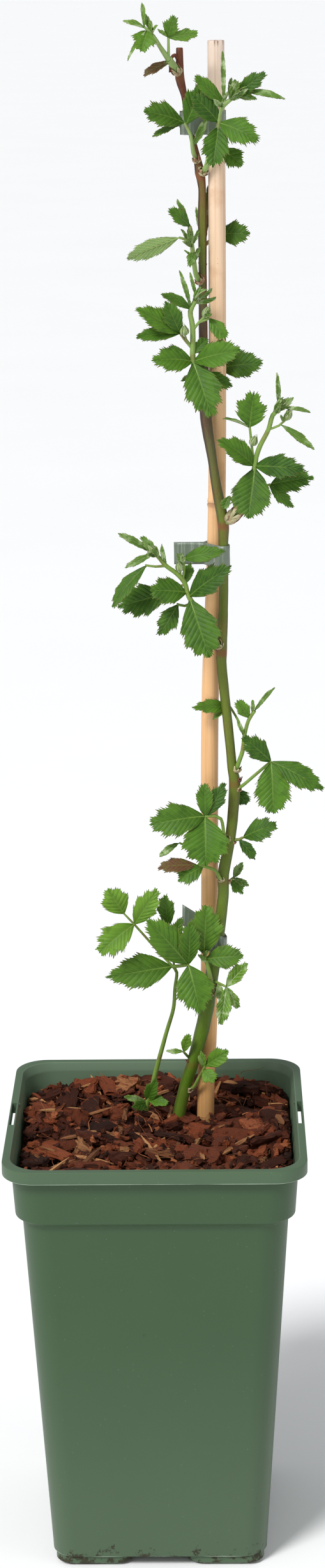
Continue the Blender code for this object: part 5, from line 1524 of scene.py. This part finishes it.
TAPE_WIDTH, TAPE_THICK, TAPE_SLACK = 11.0, 0.28, 0.35
TAPE_SIDES, TAPE_ROWS = 40, 6
PINCH_ROOM = 0.7
STAPLE_WIRE, STAPLE_SPAN = 0.5, 4.0
# The staple's crown stands this far before the pinched tape, and its legs reach back this far
STAPLE_STAND, STAPLE_LEG, STAPLE_BEND = 0.45, 0.7, 0.1
# Middle height, rise along X, length of the tail on the left
TIES = {
    "tie_top": (719.5, 0.0, 0.5),
    "tie_middle": (512.4, 0.0, 14.5),
    "tie_low": (316.0, -0.65, 8.0),
}


def tape_colour(tree, mask):
    return stain(tree, mix(tree, mask["Clouds"], paint(92, 106, 90), paint(124, 138, 120)),
                 # Painted highlights: pale streaks that run across the tape
                 (rise(tree, mask["Grain"], 0.52, 0.66), 0.5, (170, 182, 166)))


def tape_plan(rods, pinch_x, pinch_y, tail):
    """Plan of a tape: one tail, the taut way round both upright rods, and the other tail."""
    layer = (TAPE_THICK + 0.2) / 2
    front, back = (pinch_x, pinch_y - layer), (pinch_x, pinch_y + layer)
    touched = [front, back]
    for x, y, radius in rods:
        for i in range(TAPE_SIDES):
            angle = math.tau * i / TAPE_SIDES
            touched.append((x + radius * math.cos(angle), y + radius * math.sin(angle)))
    ring = [touched[i] for i in convex_hull_2d(touched)]
    start = ring.index(front)
    ring = ring[start:] + ring[:start]
    if ring[1] == back:
        ring = ring[:1] + ring[:0:-1]
    steps = [i / 4 for i in range(4)]
    tails = [(pinch_x - tail * (1 - t), front[1]) for t in steps]
    return tails + ring + [(x, back[1]) for x, _ in reversed(tails)]


def tie_up(name, tape, metal):
    middle, slope, tail = TIES[name]
    rods = []
    for rows in (CANE, STEM):
        x, y, _, radius = at_height(rows, middle)
        lean = max(math.dist(at_height(rows, middle + s * TAPE_WIDTH / 2)[:2], (x, y)) for s in (-1, 1))
        rods.append((x, y, radius + lean + TAPE_SLACK + TAPE_THICK / 2))
    left = min(rods, key=lambda rod: rod[0] - rod[2])
    pinch_x, pinch_y = left[0] - left[2] - PINCH_ROOM, left[1]
    bm = bmesh.new()
    columns = []
    for x, y in tape_plan(rods, pinch_x, pinch_y, tail):
        centre_z = middle + slope * (x - rods[0][0])
        column = []
        for i in range(TAPE_ROWS + 1):
            s = 2 * i / TAPE_ROWS - 1
            crease = 0.16 * noise.noise(Vector((x * 0.25, y * 0.25, s * 1.2 + middle)))
            spot = Vector((x + crease, y - abs(crease), centre_z + s * TAPE_WIDTH / 2))
            column.append(bm.verts.new(spot * MM))
        columns.append(column)
    skin(bm, columns, closed=False, flip=True)
    bmesh.ops.recalc_face_normals(bm, faces=bm.faces)
    band = new_piece(f"{name}_tape", bm, "tape", tape)
    shade(band, 50)
    thicken(band, TAPE_THICK, offset=0.0)
    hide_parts(name)
    crown_x, front = pinch_x - PINCH_ROOM, pinch_y - TAPE_THICK - STAPLE_STAND
    wire_line = [(crown_x, front + back, middle + up, STAPLE_WIRE / 2) for back, up in (
        (STAPLE_LEG, -STAPLE_SPAN / 2), (0.0, STAPLE_BEND - STAPLE_SPAN / 2),
        (0.0, STAPLE_SPAN / 2 - STAPLE_BEND), (STAPLE_LEG, STAPLE_SPAN / 2))]
    legs = bmesh.new()
    grow_tube(legs, wire_line, 10)
    staple = new_piece(name.replace("tie", "staple") + "_wire", legs, "staple", metal)
    shade(staple, 50)
    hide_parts(name.replace("tie", "staple"))


olive_tape = worn_finish(
    "olive_tying_tape", tape_colour, rough=(0.22, 0.42), wear=dict(Cloud_Scale=160.0),
    grain=dict(Stretch=(900.0, 900.0, 40.0), Depth=0.35), alpha=(0.92, 0.80),
    Specular_IOR_Level=0.6, Coat_Weight=0.3, Coat_Roughness=0.15)
bright_wire = worn_finish(
    "bright_wire",
    lambda tree, mask: mix(tree, mask["Clouds"], paint(196, 196, 198), paint(226, 226, 228)),
    rough=(0.22, 0.4), wear=dict(Cloud_Scale=600.0, Relief_Depth=0.1), Metallic=1.0)
for tie in TIES:
    tie_up(tie, olive_tape, bright_wire)


# The studio
# A pale floor that runs on without an edge, wide soft light from the front left, a fill, and a
# camera in front that looks a little down on the plant.

# Metres. The lights aim at the middle of the plant
LIGHTS_AIM = Vector((0.0, 0.0, 0.4))
CAMERA_PLACE = Vector((0.0293, -1.408, 0.811))
CAMERA_YAW, CAMERA_PITCH, CAMERA_ROLL = -0.98, 16.18, -0.71
FOCAL_PIXELS, FRAME_PIXELS, SENSOR = 4661.0, 2457.0, 36.0
FLOOR_REACH = 60.0


def floor_finish():
    material, tree, shader = new_finish("pale_floor", Specular_IOR_Level=0.2)
    wear = use(tree, wear_tree, Place=where(tree), Cloud_Scale=3.0)
    wire(tree, shader, Base_Color=mix(tree, wear["Clouds"], paint(248, 248, 248), paint(252, 252, 252)),
         Roughness=shift(tree, wear["Clouds"], 0.7, 0.8))
    return material


floor_mesh = bmesh.new()
bmesh.ops.create_grid(floor_mesh, x_segments=8, y_segments=8, size=FLOOR_REACH)
floor = new_piece("floor", floor_mesh, None, floor_finish())

world = bpy.data.worlds.new("studio")
world.use_nodes = True
backdrop = world.node_tree.nodes["Background"]
backdrop.inputs["Color"].default_value = (0.95, 0.97, 1.0, 1.0)
# The backdrop looks as bright as the floor, and lights the plant more softly than that
seen = add(world.node_tree, "LightPath").outputs["Is Camera Ray"]
world.node_tree.links.new(shift(world.node_tree, seen, 0.48, 0.96), backdrop.inputs["Strength"])
bpy.context.scene.world = world
bpy.context.scene.view_settings.view_transform = "Standard"


def add_light(name, kind, place, power, **settings):
    light = bpy.data.lights.new(name, kind)
    light.energy = power
    for key, value in settings.items():
        setattr(light, key, value)
    lamp = bpy.data.objects.new(name, light)
    lamp.location = place
    lamp.rotation_euler = (LIGHTS_AIM - Vector(place)).to_track_quat("-Z", "Y").to_euler()
    bpy.context.scene.collection.objects.link(lamp)


add_light("key", "SUN", (-2.0, -2.6, 4.0), 2.4, angle=math.radians(16))
add_light("softbox_left", "AREA", (-1.5, -1.4, 1.5), 9.0, size=1.0)
add_light("softbox_right", "AREA", (1.7, -0.9, 1.1), 4.0, size=1.0)


def look_matrix(place, yaw, pitch, roll):
    yaw, pitch, roll = (math.radians(v) for v in (yaw, -pitch, roll))
    ahead = Vector((math.sin(yaw) * math.cos(pitch), math.cos(yaw) * math.cos(pitch), math.sin(pitch)))
    level = Vector((math.cos(yaw), -math.sin(yaw), 0.0))
    up = level.cross(ahead)
    right = level * math.cos(roll) + up * math.sin(roll)
    above = up * math.cos(roll) - level * math.sin(roll)
    turn = Matrix((right, above, -ahead)).transposed().to_4x4()
    return Matrix.Translation(place) @ turn


lens = bpy.data.cameras.new("camera")
lens.sensor_fit = "VERTICAL"
lens.sensor_height = SENSOR
lens.lens = FOCAL_PIXELS / FRAME_PIXELS * SENSOR
camera = bpy.data.objects.new("camera", lens)
camera.matrix_world = look_matrix(CAMERA_PLACE, CAMERA_YAW, CAMERA_PITCH, CAMERA_ROLL)
bpy.context.scene.collection.objects.link(camera)
bpy.context.scene.camera = camera
